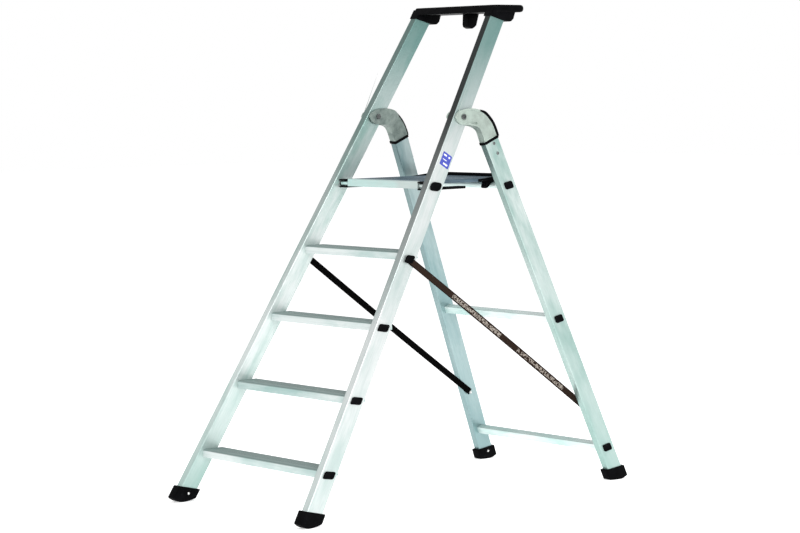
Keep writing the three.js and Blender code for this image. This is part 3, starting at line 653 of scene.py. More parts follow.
class Finishes:
    """Every finish of the ladder, built once and handed out by name."""

    def __init__(self) -> None:
        """Builds all the materials."""
        # Right front stile: painted dark reflection on its front faces and painted shade towards the
        # top.
        self.front_stile = Extrusion(
            "front_stile_satin",
            (0.70, 0.735, 0.73),
            (0.50, 0.60, 0.58),
            FRONT_TURN,
            front_share=0.97,
            front_tone=0.02,
            high_share=0.85,
        ).build()
        # Darker copy for the left front stile: painted shade, heavier towards the foot and on the front
        # faces.
        self.front_stile_left = Extrusion(
            "front_stile_satin_shaded",
            (0.68, 0.73, 0.72),
            (0.34, 0.50, 0.46),
            FRONT_TURN,
            low_at=0.5,
            low_share=0.8,
            front_share=0.75,
            front_tone=0.3,
            high_share=0.85,
        ).build()
        # Right rear stile: painted shade towards the foot and on the front faces.
        self.rear_stile = Extrusion(
            "rear_stile_satin",
            (0.68, 0.76, 0.74),
            (0.32, 0.49, 0.45),
            REAR_TURN,
            low_at=1.15,
            low_share=0.75,
            front_share=0.85,
            front_tone=0.45,
        ).build()
        # Darker, bluer copy for the left rear stile: painted shade, heavier towards the foot and on the
        # front faces.
        self.rear_stile_left = Extrusion(
            "rear_stile_satin_shaded",
            (0.46, 0.57, 0.57),
            (0.23, 0.36, 0.37),
            REAR_TURN,
            low_at=1.15,
            low_share=0.75,
            front_share=0.85,
            front_tone=0.45,
        ).build()
        # Treads: painted shade on the faces that look up.
        self.tread = Extrusion(
            "tread_satin",
            (0.74, 0.80, 0.79),
            shade(TEAL, 1.3),
            ACROSS_TURN,
            metallic=0.2,
            top_share=0.95,
            top_from=0.15,
            top_full=0.6,
            top_tone=0.38,
        ).build()
        # Rungs and rest bar: painted shade on the faces that look up.
        self.rung = Extrusion(
            "rung_satin",
            (0.80, 0.85, 0.84),
            shade(TEAL, 1.5),
            ACROSS_TURN,
            metallic=0.3,
            top_share=0.8,
        ).build()
        # Nosing and clip inserts: a little painted shade on the faces that look up.
        self.nosing = Extrusion(
            "nosing_satin",
            (0.54, 0.62, 0.60),
            shade(TEAL, 1.7),
            ACROSS_TURN,
            metallic=0.35,
            top_share=0.2,
        ).build()
        self.deck = Extrusion(
            "deck_ribbed",
            (0.11, 0.16, 0.20),
            (0.05, 0.08, 0.10),
            ACROSS_TURN,
            metallic=0.05,
            specular=0.12,
        ).build()
        self.casting = Casting("cast_aluminium", (0.41, 0.49, 0.44), (0.33, 0.39, 0.35)).build()
        # Darker copy for the left casting: painted shade.
        self.casting_shaded = Casting(
            "cast_aluminium_painted_shade", (0.27, 0.33, 0.30), (0.13, 0.17, 0.16)
        ).build()
        self.plastic = Moulding("moulded_black").build()
        self.rubber = Moulding("foot_rubber", roughness=0.6, grain=700.0, depth=0.0009).build()
        self.steel = BrightSteel().build()
        self.dark_steel = BrightSteel("dark_steel", (0.16, 0.17, 0.17)).build()
        self.strap_plain = Webbing(
            "webbing_black", (0.0014, 0.0012, 0.0012), (0.001, 0.001, 0.001), False
        ).build()
        self.strap_printed = Webbing(
            "webbing_brown", (0.026, 0.016, 0.012), (0.004, 0.003, 0.003), True
        ).build()
        self.label_blue = LabelFilm("label_blue", (0.05, 0.07, 0.42)).build()
        self.label_white = LabelFilm("label_white", (0.86, 0.88, 0.95)).build()


# ---- Shaping -----------------------------------------------------------------------------


def arc(centre: Point, radius: Point, start: float, end: float, steps: int) -> Outline:
    """Points along a circular or elliptical arc.

    Args:
        centre: centre of the arc.
        radius: its two radii.
        start: first angle, in degrees.
        end: last angle, in degrees.
        steps: number of steps between the points.

    Returns:
        steps + 1 points.
    """
    turns = [math.radians(start + (end - start) * i / steps) for i in range(steps + 1)]
    return [(centre[0] + radius[0] * math.cos(t), centre[1] + radius[1] * math.sin(t)) for t in turns]


def rounded(width: float, height: float, radius: float, steps: int = 5) -> Outline:
    """Rounded rectangle around the origin, anticlockwise.

    Args:
        width: size along the first axis.
        height: size along the second axis.
        radius: radius of the corners.
        steps: stretches in each corner.

    Returns:
        The outline.
    """
    x = width / 2 - radius
    y = height / 2 - radius
    corners = [(x, y, 0), (-x, y, 90), (-x, -y, 180), (x, -y, 270)]
    outline: Outline = []
    for cx, cy, start in corners:
        outline += arc((cx, cy), (radius, radius), start, start + 90, steps)
    return outline


def smooth_line(points: Sequence[Point], steps: int = 4) -> Outline:
    """Smooth line through a few points, with steps stretches between each two.

    Args:
        points: what the line passes through.
        steps: stretches between each two points.

    Returns:
        The points of the smooth line.
    """
    line: Outline = []
    last = len(points) - 1
    for i in range(last):
        before = Vector(points[max(i - 1, 0)])
        start = Vector(points[i])
        end = Vector(points[i + 1])
        after = Vector(points[min(i + 2, last)])
        for k in range(steps):
            t = k / steps
            bend = (2 * before - 5 * start + 4 * end - after) * t * t
            twist = (3 * start - before - 3 * end + after) * t * t * t
            spot = (2 * start + (end - before) * t + bend + twist) / 2
            line.append((spot.x, spot.y))
    line.append(tuple(points[-1]))
    return line


def prism(outline: Outline, start: float, end: float, place: Matrix) -> bmesh.types.BMesh:
    """Closed prism of an outline between two distances along its third axis.

    Args:
        outline: corners in the plane of the first two axes.
        start: where the prism begins on the third axis.
        end: where it ends.
        place: turns the prism's own axes into the ladder's.

    Returns:
        A bmesh of the prism.
    """
    bm = bmesh.new()
    corners = [bm.verts.new((u, v, start)) for u, v in outline]
    face = bm.faces.new(corners)
    swept = bmesh.ops.extrude_face_region(bm, geom=[face])
    moved = [item for item in swept["geom"] if isinstance(item, bmesh.types.BMVert)]
    bmesh.ops.translate(bm, verts=moved, vec=(0, 0, end - start))
    bmesh.ops.transform(bm, matrix=place, verts=bm.verts)
    bmesh.ops.recalc_face_normals(bm, faces=bm.faces)
    return bm


def loft(rings: Sequence[Sequence[Vector]]) -> bmesh.types.BMesh:
    """Closed skin through rings of equal numbers of points, capped at both ends.

    Args:
        rings: rows of points, from one end to the other.

    Returns:
        A closed bmesh, in place.
    """
    bm = bmesh.new()
    start = [bm.verts.new(point) for point in rings[0]]
    face = bm.faces.new(start)
    edges = list(face.edges)
    for ring in rings[1:]:
        swept = bmesh.ops.extrude_edge_only(bm, edges=edges)
        edges = [item for item in swept["geom"] if isinstance(item, bmesh.types.BMEdge)]
        verts = [item for item in swept["geom"] if isinstance(item, bmesh.types.BMVert)]
        for vert, point in zip(verts, ring):
            vert.co = point
    bmesh.ops.edgeloop_fill(bm, edges=edges)
    bmesh.ops.recalc_face_normals(bm, faces=bm.faces)
    return bm


def joined(parts: Sequence[bmesh.types.BMesh]) -> bmesh.types.BMesh:
    """All the parts as one bmesh of separate closed shells.

    Args:
        parts: the shells; they are freed.

    Returns:
        One bmesh that holds them all.
    """
    whole = bmesh.new()
    for part in parts:
        mesh = bpy.data.meshes.new("part")
        part.to_mesh(mesh)
        whole.from_mesh(mesh)
        part.free()
        bpy.data.meshes.remove(mesh)
    return whole


def mirror_copy(bm: bmesh.types.BMesh) -> bmesh.types.BMesh:
    """Copy of a bmesh mirrored to the other side of the ladder.

    Args:
        bm: the shape, which stays as it is.

    Returns:
        The mirror image.
    """
    copy = bm.copy()
    bmesh.ops.scale(copy, vec=(-1, 1, 1), verts=copy.verts)
    bmesh.ops.reverse_faces(copy, faces=copy.faces)
    return copy


def soften(bm: bmesh.types.BMesh, width: float, segments: int = 3, sharper_than: float = 35.0) -> None:
    """Bevels every edge that is sharper than an angle in degrees.

    Args:
        bm: the shape.
        width: width of the bevel.
        segments: stretches across the bevel.
        sharper_than: angle between two faces, in degrees, that an edge needs.
    """
    limit = math.radians(sharper_than)
    edges = [e for e in bm.edges if len(e.link_faces) == 2 and e.calc_face_angle() > limit]
    bmesh.ops.bevel(
        bm,
        geom=edges,
        offset=width,
        offset_type="OFFSET",
        segments=segments,
        profile=0.5,
        affect="EDGES",
        clamp_overlap=True,
        material=-1,
    )


def cut(bm: bmesh.types.BMesh, point: Vector, normal: Vector) -> None:
    """Cuts away what lies on the side of a plane that its normal looks to, and closes the cut.

    Args:
        bm: the shape.
        point: a point on the plane.
        normal: direction of the side that goes.
    """
    found = bmesh.ops.bisect_plane(
        bm,
        geom=bm.verts[:] + bm.edges[:] + bm.faces[:],
        plane_co=point,
        plane_no=normal,
        clear_outer=True,
    )
    edges = [item for item in found["geom_cut"] if isinstance(item, bmesh.types.BMEdge)]
    bmesh.ops.edgeloop_fill(bm, edges=edges)


def carve(solid: bmesh.types.BMesh, cutters: Sequence[bmesh.types.BMesh]) -> bmesh.types.BMesh:
    """The solid less all the cutters.

    Args:
        solid: what is carved; it is freed.
        cutters: what is taken away; they are freed.

    Returns:
        The carved solid.
    """
    pieces = []
    for bm in (solid, *cutters):
        mesh = bpy.data.meshes.new("blank")
        bm.to_mesh(mesh)
        bm.free()
        holder = bpy.data.objects.new("blank", mesh)
        bpy.context.scene.collection.objects.link(holder)
        pieces.append(holder)
    for cutter in pieces[1:]:
        difference = pieces[0].modifiers.new("cut", "BOOLEAN")
        difference.operation = "DIFFERENCE"
        difference.solver = "EXACT"
        difference.object = cutter
    bpy.context.view_layer.update()
    shaped = pieces[0].evaluated_get(bpy.context.evaluated_depsgraph_get())
    result = bmesh.new()
    result.from_mesh(shaped.to_mesh())
    for holder in pieces:
        mesh = holder.data
        bpy.data.objects.remove(holder)
        bpy.data.meshes.remove(mesh)
    bmesh.ops.remove_doubles(result, verts=result.verts, dist=0.02 * MM)
    bmesh.ops.dissolve_degenerate(result, edges=result.edges, dist=0.02 * MM)
    return result


@dataclass(frozen=True)
class Dress:
    """How a piece is finished: material, body, record slot, CAD nodes it stands for, shading."""

    material: bpy.types.Material
    body: Body
    slot: str
    replaces: tuple[str, ...] = ()
    crease: float = 32.0
    weighted: bool = False


def shown(
    name: str, bm: bmesh.types.BMesh, material: bpy.types.Material, crease: float
) -> bpy.types.Object:
    """Links a smooth-shaded object made of a bmesh.

    Args:
        name: name of the object and its mesh.
        bm: its shape, in place; it is freed.
        material: its only material.
        crease: edges over this angle, in degrees, stay sharp.

    Returns:
        The object.
    """
    mesh = bpy.data.meshes.new(name)
    bm.to_mesh(mesh)
    bm.free()
    mesh.polygons.foreach_set("use_smooth", [True] * len(mesh.polygons))
    mesh.set_sharp_from_angle(angle=math.radians(crease))
    mesh.materials.append(material)
    piece = bpy.data.objects.new(name, mesh)
    bpy.context.scene.collection.objects.link(piece)
    return piece


def make_piece(name: str, bm: bmesh.types.BMesh, dress: Dress) -> bpy.types.Object:
    """Turns a bmesh into a finished piece of the ladder.

    Args:
        name: name of the piece.
        bm: its shape, in place; it is freed.
        dress: material, body, slot and replaced nodes.

    Returns:
        The object.
    """
    bmesh.ops.recalc_face_normals(bm, faces=bm.faces)
    piece = shown(name, bm, dress.material, dress.crease)
    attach(piece, dress.body.value)
    if dress.replaces:
        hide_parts(*dress.replaces)
    if dress.weighted:
        even = piece.modifiers.new("even_shading", "WEIGHTED_NORMAL")
        even.keep_sharp = True
    log.info("%s: %d faces on %s", name, len(piece.data.polygons), dress.body.value)
    return piece


def make_pair(name: str, bm: bmesh.types.BMesh, dress: Dress, node: str = "") -> None:
    """Makes a right-hand piece and its mirror image on the left.

    Args:
        name: name of the piece without its side.
        bm: the right-hand shape; it is freed.
        dress: how both are finished.
        node: name, without its side, of the CAD node that each stands for.
    """
    shapes = {Side.LEFT: mirror_copy(bm), Side.RIGHT: bm}
    for side, shape in shapes.items():
        nodes = (node + side.ending,) if node else ()
        make_piece(name + side.ending, shape, replace(dress, replaces=nodes))


def crosspiece(
    outline: Outline, layout: Layout, plane: Matrix, width: float, place: Matrix
) -> bmesh.types.BMesh:
    """A bar across the ladder, its ends cut along the inner faces of the splayed stiles.

    Args:
        outline: section of the bar, as (y, z).
        layout: frames of the stiles.
        plane: front_plane or rear_plane.
        width: width of the stiles.
        place: where the section is in that plane.

    Returns:
        The bar, in place.
    """
    long = 0.4
    inner = layout.half_width(plane, 0) - width / math.cos(math.atan(layout.splay)) - GAP
    bar = prism(outline, -long, long, place @ ACROSS)
    for side in Side:
        cut(bar, Vector((side.value * inner, 0, 0)), Vector((side.value, 0, layout.splay)))
    bmesh.ops.transform(bar, matrix=plane, verts=bar.verts)
    return bar


# ---- Sub-assemblies ----------------------------------------------------------------------


@dataclass
class Steps:
    """The four treads: open channels with a rounded nose and a finely ribbed top."""

    layout: Layout
    finishes: Finishes
    front: float = -15 * MM
    depth: float = 83 * MM
    rise: float = 18 * MM
    height: float = 29 * MM
    wall: float = 3 * MM
    nose: float = 15 * MM
    nose_drop: float = 7 * MM
    rib_pitch: float = 4.6 * MM
    rib_depth: float = 1.1 * MM
    lip: float = 8 * MM
    lip_thickness: float = 2.5 * MM
    web_half: float = 1.5 * MM
    spacing: float = 274 * MM
    first: float = 191.3 * MM
    count: int = 4

    def outline(self) -> Outline:
        """Section of a tread around its fixing, as (y, z).

        Returns:
            The outline.
        """
        back = self.front + self.depth
        bottom = self.rise - self.height
        under = self.rise - self.wall - self.rib_depth
        web_bottom = bottom + 9 * MM
        lip_top = bottom + self.lip_thickness
        points: Outline = [(self.front, bottom + 1 * MM)]
        bend = (self.front + self.nose, self.rise - self.nose_drop)
        points += arc(bend, (self.nose, self.nose_drop), 180, 90, 7)
        ribs = int((self.depth - self.nose - 6 * MM) / self.rib_pitch)
        for i in range(ribs):
            y = self.front + self.nose + 1.5 * MM + i * self.rib_pitch
            points += [(y, self.rise), (y + 0.8 * MM, self.rise - self.rib_depth)]
            points += [(y + 2.2 * MM, self.rise - self.rib_depth), (y + 3 * MM, self.rise)]
        points += arc((back - 3 * MM, self.rise - 3 * MM), (3 * MM, 3 * MM), 90, 0, 4)
        points += [(back, bottom), (back - self.lip, bottom), (back - self.lip, lip_top)]
        points += [(back - self.wall, lip_top), (back - self.wall, under)]
        middle = (self.front + back) / 2
        for y in (middle + self.web_half, middle - self.web_half):
            points += [(y, under), (y, web_bottom)] if y > middle else [(y, web_bottom), (y, under)]
        points += [(self.front + self.nose, under), (self.front + self.wall, under - 5 * MM)]
        points += [(self.front + self.wall, lip_top), (self.front + self.lip, lip_top)]
        points += [(self.front + self.lip, bottom), (self.front + 1 * MM, bottom)]
        return points

    def build(self) -> None:
        """Makes the treads."""
        layout = self.layout
        level = Matrix.Rotation(math.atan(layout.front_pitch), 4, "X")
        for i in range(self.count):
            place = Matrix.Translation((0, 0, self.first + i * self.spacing)) @ level
            tread = crosspiece(
                self.outline(), layout, layout.front_plane, layout.front_width, place
            )
            node = (f"step_{i + 1}",)
            dress = Dress(self.finishes.tread, Body.FRONT, "tread_aluminium", node, crease=30)
            make_piece(f"tread_{i + 1}", tread, dress)


@dataclass
class Covers:
    """Crowned plastic covers on the outer faces of the stiles, their ends nearly level."""

    layout: Layout
    finishes: Finishes
    thickness: float = 4 * MM
    corner: float = 7 * MM
    shear: float = 0.4
    over_strap: float = 5.2 * MM

    def cover(
        self, stile: Matrix, width: float, size: Point, shear: float, lift: float, up: float
    ) -> bmesh.types.BMesh:
        """One right-hand cover, with a raised rim around a dished middle.

        Args:
            stile: frame of the stile.
            width: width of the stile.
            size: the cover's size along the stile and across its face.
            shear: how far its ends lean from square to the stile.
            lift: height of its underside over the stile's face.
            up: distance of its middle up the frame.

        Returns:
            The cover, in place.
        """
        middle = up / math.cos(math.atan(self.layout.splay))

        def ring(inset: float, share: float) -> list[Vector]:
            """Outline of the cover, drawn in and raised.

            Args:
                inset: how far it is drawn in.
                share: height above the underside, as a share of the cover's thickness.

            Returns:
                The ring's points, in place.
            """
            points = rounded(size[0] - 2 * inset, size[1] - 2 * inset, self.corner - inset * 0.6)
            out = width / 2 + lift + share * self.thickness
            return [stile @ Vector((out, v, middle + u + shear * v)) for u, v in points]

        profile = [(0.6, 0.0), (0.0, 0.45), (0.0, 0.5), (0.25, 0.72), (0.9, 0.93), (2.0, 1.0)]
        profile += [(5.0, 0.98), (5.8, 0.84), (8.0, 0.80)]
        return loft([ring(inset * MM, share) for inset, share in profile])

    def build(self) -> None:
        """Makes the covers of the treads, rungs, rest bar and strap fixings."""
        layout = self.layout
        front = (layout.front_stile, layout.front_width, self.shear, Body.FRONT)
        rear = (layout.rear_stile, layout.rear_width, -self.shear / 2, Body.REAR)
        groups = [(f"step_cap_{i}", front, (28, 44), GAP) for i in (1, 2, 3)]
        groups.append(("strap_anchor_front", front, (30, 36), self.over_strap))
        rear_caps = ("rung_cap_upper", "rung_cap_lower", "rest_bar_cap")
        groups += [(node, rear, (28, 38), GAP) for node in rear_caps]
        for node, (stile, width, shear, body), size, lift in groups:
            up = (stile.inverted() @ centre_of(node + "_r")).z * math.cos(math.atan(layout.splay))
            shape = (size[0] * MM, size[1] * MM)
            cover = self.cover(stile, width, shape, shear, lift, up)
            make_pair(node + "_cover", cover, Dress(self.finishes.plastic, body, "black_plastic"), node)


@dataclass
class Feet:
    """Rubber shoes: moulded sockets with a nearly level top and a rocker sole."""

    layout: Layout
    finishes: Finishes
    margin: float = 5 * MM
    reach: float = 10 * MM
    edge: float = 3.5 * MM

    def sole(self, toe: Point, heel: Point) -> Outline:
        """Rocker sole from toe to heel, flat on the floor below the stile's axis.

        Args:
            toe: front end of the sole, as (y, z) from the foot of the stile.
            heel: rear end of the sole, in the same way.

        Returns:
            The points from toe to heel.
        """
        steps = 8
        line = [(toe[0] * k / steps, toe[1] * (k / steps) ** 2) for k in range(steps, 0, -1)]
        line.append((0.0, 0.0))
        line += [(heel[0] * k / steps, heel[1] * (k / steps) ** 2) for k in range(1, steps + 1)]
        return line

    def shoe(
        self, node: str, stile: Matrix, width: float, pitch: float, top: Point, rises: Point
    ) -> bmesh.types.BMesh:
        """One right-hand shoe.

        Args:
            node: CAD node of the stile it is on.
            stile: frame of that stile.
            width: width of the stile.
            pitch: how far the stile leans back for each unit of height.
            top: height of the top edge over the stile's foot, and its slope along Y.
            rises: how far the toe and the heel of the sole stand off the floor.

        Returns:
            The shoe, its sole on the floor.
        """
        slant = math.sqrt(1 + pitch * pitch)
        half = (self.layout.stile_depth / 2 + self.reach) * slant
        toe = (pitch * rises[0] - half, rises[0])
        heel = (pitch * rises[1] + half, rises[1])
        corners = []
        for y in (half, -half):
            z = (top[0] + top[1] * y) / (1 - top[1] * pitch)
            corners.append((y + pitch * z, z))
        outline = self.sole(toe, heel) + corners
        foot = stile.translation
        splay = self.layout.splay
        place = Matrix(
            (
                (-splay * pitch / slant, -splay / slant, 1, foot.x),
                (1, 0, 0, foot.y),
                (0, 1, 0, 0),
                (0, 0, 0, 1),
            )
        )
        across = width / 2 + self.margin
        shoe = prism(outline, -across, across, place)
        soften(shoe, self.edge, 4, 25)
        start = min((stile.inverted() @ v.co).z for v in frame["nodes"][node].data.vertices)
        size = (width + 2 * GAP, self.layout.stile_depth + 2 * GAP)
        socket = prism(rounded(*size, 3 * MM), start - GAP, start + 120 * MM, stile)
        return carve(shoe, [socket])

    def build(self) -> None:
        """Makes the four shoes."""
        layout = self.layout
        front = (layout.front_stile, layout.front_width, layout.front_pitch)
        rear = (layout.rear_stile, layout.rear_width, -layout.rear_pitch)
        kinds = [
            ("front", Body.FRONT, front, (56 * MM, -0.24), (18 * MM, 8 * MM)),
            ("rear", Body.REAR, rear, (48 * MM, 0.13), (2 * MM, 12 * MM)),
        ]
        for name, body, stile, top, rises in kinds:
            shoe = self.shoe(name + "_stile_r", *stile, top, rises)
            make_pair(name + "_shoe", shoe, Dress(self.finishes.rubber, body, "rubber"), name + "_foot")


@dataclass
class GooseneckHinges:
    """Cast gooseneck hinges: a fork over the front stile and an arm into the rear stile."""

    layout: Layout
    finishes: Finishes
    cheek: float = 6 * MM
    clearance: float = 4.2 * MM
    arm_inner: float = 229.5 * MM
    rim: float = 6 * MM
    recess: float = 1.6 * MM
    stile_top: float = 1364 * MM
    overlap: float = 4.5 * MM
    strip_from: float = 76 * MM
    strip_rise: float = 6.5 * MM
    seat_radius: float = 13 * MM
    seat_depth: float = 3.4 * MM

    @property
    def outer(self) -> float:
        """Outer face of the fork."""
        return self.layout.hinge_half_width + self.clearance + self.cheek

    @property
    def inner(self) -> float:
        """Inner face of the fork."""
        stile = self.layout.front_width / math.cos(math.atan(self.layout.splay))
        return self.layout.hinge_half_width - stile - self.clearance - self.cheek

    def top_line(self) -> Outline:
        """Upper, outer curve of the casting from nose to arm, as (y, z) from the hinge axis.

        Returns:
            The points from the nose to the arm.
        """
        points = [(-40, 0), (-33, 12), (-18, 21), (0, 26), (26, 29), (53, 28), (78, 22)]
        points += [(100, 12), (120, -4), (136, -22), (148, -42), (157, -62)]
        return smooth_line([(y * MM, z * MM) for y, z in points])

    def under_line(self) -> Outline:
        """Lower, inner curve of the casting from arm to nose, as (y, z) from the hinge axis.

        Returns:
            The points from the arm to the nose.
        """
        points = [(86, -62), (76, -45), (62, -36), (44, -32), (24, -29), (4, -28), (-16, -25)]
        points += [(-31, -15), (-40, 0)]
        return smooth_line([(y * MM, z * MM) for y, z in points])

    def arm_end(self) -> Outline:
        """The two corners of the arm's end over the rear stile, back corner first.

        Returns:
            Both corners, as (y, z) from the hinge axis.
        """
        half = self.layout.stile_depth / 2 - 0.5 * MM
        ends = [Vector((0, y, self.stile_top + 1.6 * MM)) for y in (half, -half)]
        spots = [self.layout.rear_plane @ end - self.layout.hinge for end in ends]
        return [(spot.y, spot.z) for spot in spots]

    def sweep(self) -> Outline:
        """Room that the front stile sweeps between the open and the folded position.

        Returns:
            The outline, as (y, z) from the hinge axis.
        """
        reach = self.layout.stile_depth / 2 - 3 * MM
        open_lean = math.atan(self.layout.front_pitch)
        folded_lean = math.atan(self.layout.rear_pitch)
        open_line = (math.cos(open_lean), -math.sin(open_lean))
        folded_line = (math.cos(folded_lean), math.sin(folded_lean))

        def on_line(line: Point, z: float) -> Point:
            """The point at a height on the back face of a stile.

            Args:
                line: direction across the stile, as (y, z).
                z: height from the hinge axis.

            Returns:
                The point, as (y, z).
            """
            return ((reach - line[1] * z) / line[0], z)

        crotch = reach * (1 / open_line[0] - 1 / folded_line[0])
        crotch /= open_line[1] / open_line[0] - folded_line[1] / folded_line[0]
        far = 90 * MM
        return [
            (-far, -far),
            on_line(folded_line, -far),
            on_line(folded_line, crotch),
            on_line(open_line, far),
            (-far, far),
        ]

    def casting(self) -> bmesh.types.BMesh:
        """The right-hand casting with its raised rim, bolt seat and drain slot.

        Returns:
            The right-hand shape, in place.
        """
        place = Matrix.Translation(self.layout.hinge) @ ACROSS
        outline = self.top_line() + self.arm_end() + self.under_line()[:-1]
        blank = prism(outline, self.inner, self.outer, place)
        blank.faces.ensure_lookup_table()
        side = max(blank.faces, key=lambda f: f.normal.x * f.calc_area())
        bmesh.ops.inset_region(blank, faces=[side], thickness=self.rim, use_even_offset=True)
        bmesh.ops.inset_region(
            blank, faces=[side], thickness=1.2 * MM, depth=-self.recess, use_even_offset=True
        )
        soften(blank, 2.6 * MM, 3, 60)
        slot = prism(self.sweep(), self.inner + self.cheek, self.outer - self.cheek, place)
        past = self.outer + 9 * MM
        circle = arc((0, 0), (self.seat_radius, self.seat_radius), 0, 354, 59)
        seat = prism(circle, self.outer - self.seat_depth, past, place)
        drain_outline = arc((60 * MM, -24 * MM), (4 * MM, 4 * MM), -110, 70, 8)
        drain_outline += arc((34 * MM, -20 * MM), (3 * MM, 3 * MM), 70, 250, 8)
        drain = prism(drain_outline, self.outer - 5 * MM, past, place)
        return carve(blank, [slot, self.arm_cutter(), seat, drain])

    def arm_cutter(self) -> bmesh.types.BMesh:
        """What narrows the fork down to the arm on its inner side.

        Returns:
            The cutter, in place.
        """
        direction = Vector((0, 0.8, -0.6))
        across = Vector((1, 0, 0))
        turned = Matrix((across, direction, across.cross(direction))).transposed().to_4x4()
        low = self.inner - 20 * MM
        outline = [(low, 40 * MM), (self.inner, 52 * MM), (self.arm_inner, 96 * MM)]
        outline += [(self.arm_inner, 260 * MM), (low, 260 * MM)]
        return prism(outline, -0.25, 0.25, Matrix.Translation(self.layout.hinge) @ turned)

    def strip(self) -> list[bmesh.types.BMesh]:
        """The black strip over the outer curve: a band on the outer side and a cap on top.

        Returns:
            The band and the cap, in place.
        """
        line = [point for point in self.top_line() if point[0] > self.strip_from]
        line.append(self.arm_end()[0])
        outer: Outline = []
        inner: Outline = []
        for i, (y, z) in enumerate(line):
            before = Vector(line[max(i - 1, 0)])
            after = Vector(line[min(i + 1, len(line) - 1)])
            run = (after - before).normalized()
            rise = self.strip_rise * min(1.0, 0.35 + i / 6)
            outer.append((y - run.y * rise, z + run.x * rise))
            inner.append((y + run.y * self.overlap, z - run.x * self.overlap))
        place = Matrix.Translation(self.layout.hinge) @ ACROSS
        band = prism(outer + inner[::-1], self.outer - 2 * MM, self.outer + 1.2 * MM, place)
        soften(band, 0.8 * MM, 2, 50)
        cap = prism(outer + line[::-1], self.arm_inner + 1 * MM, self.outer - 1 * MM, place)
        soften(cap, 1.0 * MM, 2, 50)
        return [band, cap]

    def collar(self) -> bmesh.types.BMesh:
        """The black collar round the rear stile where the arm enters it.

        Returns:
            The right-hand shape, in place.
        """
        layout = self.layout
        top = self.stile_top / math.cos(math.atan(layout.splay))
        rings = []
        for wide, height in ((0.3, -4.2), (2.8, -4.2), (3.5, -3.2), (3.5, 4.2), (2.8, 5.2), (0.3, 5.2)):
            margin = wide * MM
            size = (layout.rear_width + 2 * margin, layout.stile_depth + 2 * margin)
            points = rounded(*size, 3 * MM + margin)
            rings.append([layout.rear_stile @ Vector((u, v, top + height * MM)) for u, v in points])
        return loft(rings)

    def bolt(self) -> bmesh.types.BMesh:
        """The hinge bolt, with a domed socket head seated in the casting.

        Returns:
            The right-hand shape, in place.
        """
        top = self.outer + 1.6 * MM
        low = self.inner - 3.9 * MM
        seat = self.outer - 3.2 * MM
        stations = [(low, 0.0), (low, 9.0), (low + 1 * MM, 10.0), (low + 3.6 * MM, 10.0)]
        stations += [(low + 3.6 * MM, 7.0), (seat, 7.0), (seat, 10.0)]
        stations += [(top - 1.6 * MM, 10.0), (top - 0.5 * MM, 9.2), (top, 7.0), (top, 5.0)]
        stations += [(top - 3 * MM, 4.6), (top - 3 * MM, 0.0)]
        bm = bmesh.new()
        profile = [bm.verts.new((x, 0, r * MM)) for x, r in stations]
        edges = [bm.edges.new(pair) for pair in zip(profile, profile[1:])]
        bmesh.ops.spin(
            bm,
            geom=profile + edges,
            cent=(0, 0, 0),
            axis=(1, 0, 0),
            angle=2 * math.pi,
            steps=36,
            use_merge=True,
            use_duplicate=False,
        )
        bmesh.ops.remove_doubles(bm, verts=bm.verts, dist=0.01 * MM)
        bmesh.ops.translate(bm, verts=bm.verts, vec=self.layout.hinge)
        return bm

    def build(self) -> None:
        """Makes the castings, their guards and the bolts."""
        right = self.casting()
        # The left casting takes the darker copy of the cast finish: painted shade.
        castings = (
            (Side.LEFT, mirror_copy(right), self.finishes.casting_shaded),
            (Side.RIGHT, right, self.finishes.casting),
        )
        for side, shape, finish in castings:
            node = ("hinge_bracket" + side.ending,)
            dress = Dress(finish, Body.REAR, "cast_aluminium", node, crease=35, weighted=True)
            make_piece("gooseneck" + side.ending, shape, dress)
        trim = Dress(self.finishes.plastic, Body.REAR, "black_plastic")
        make_pair("gooseneck_guard", joined([*self.strip(), self.collar()]), trim, "hinge_trim")
        steel = Dress(self.finishes.dark_steel, Body.FRONT, "steel")
        make_pair("gooseneck_bolt", self.bolt(), steel, "hinge_bolt")


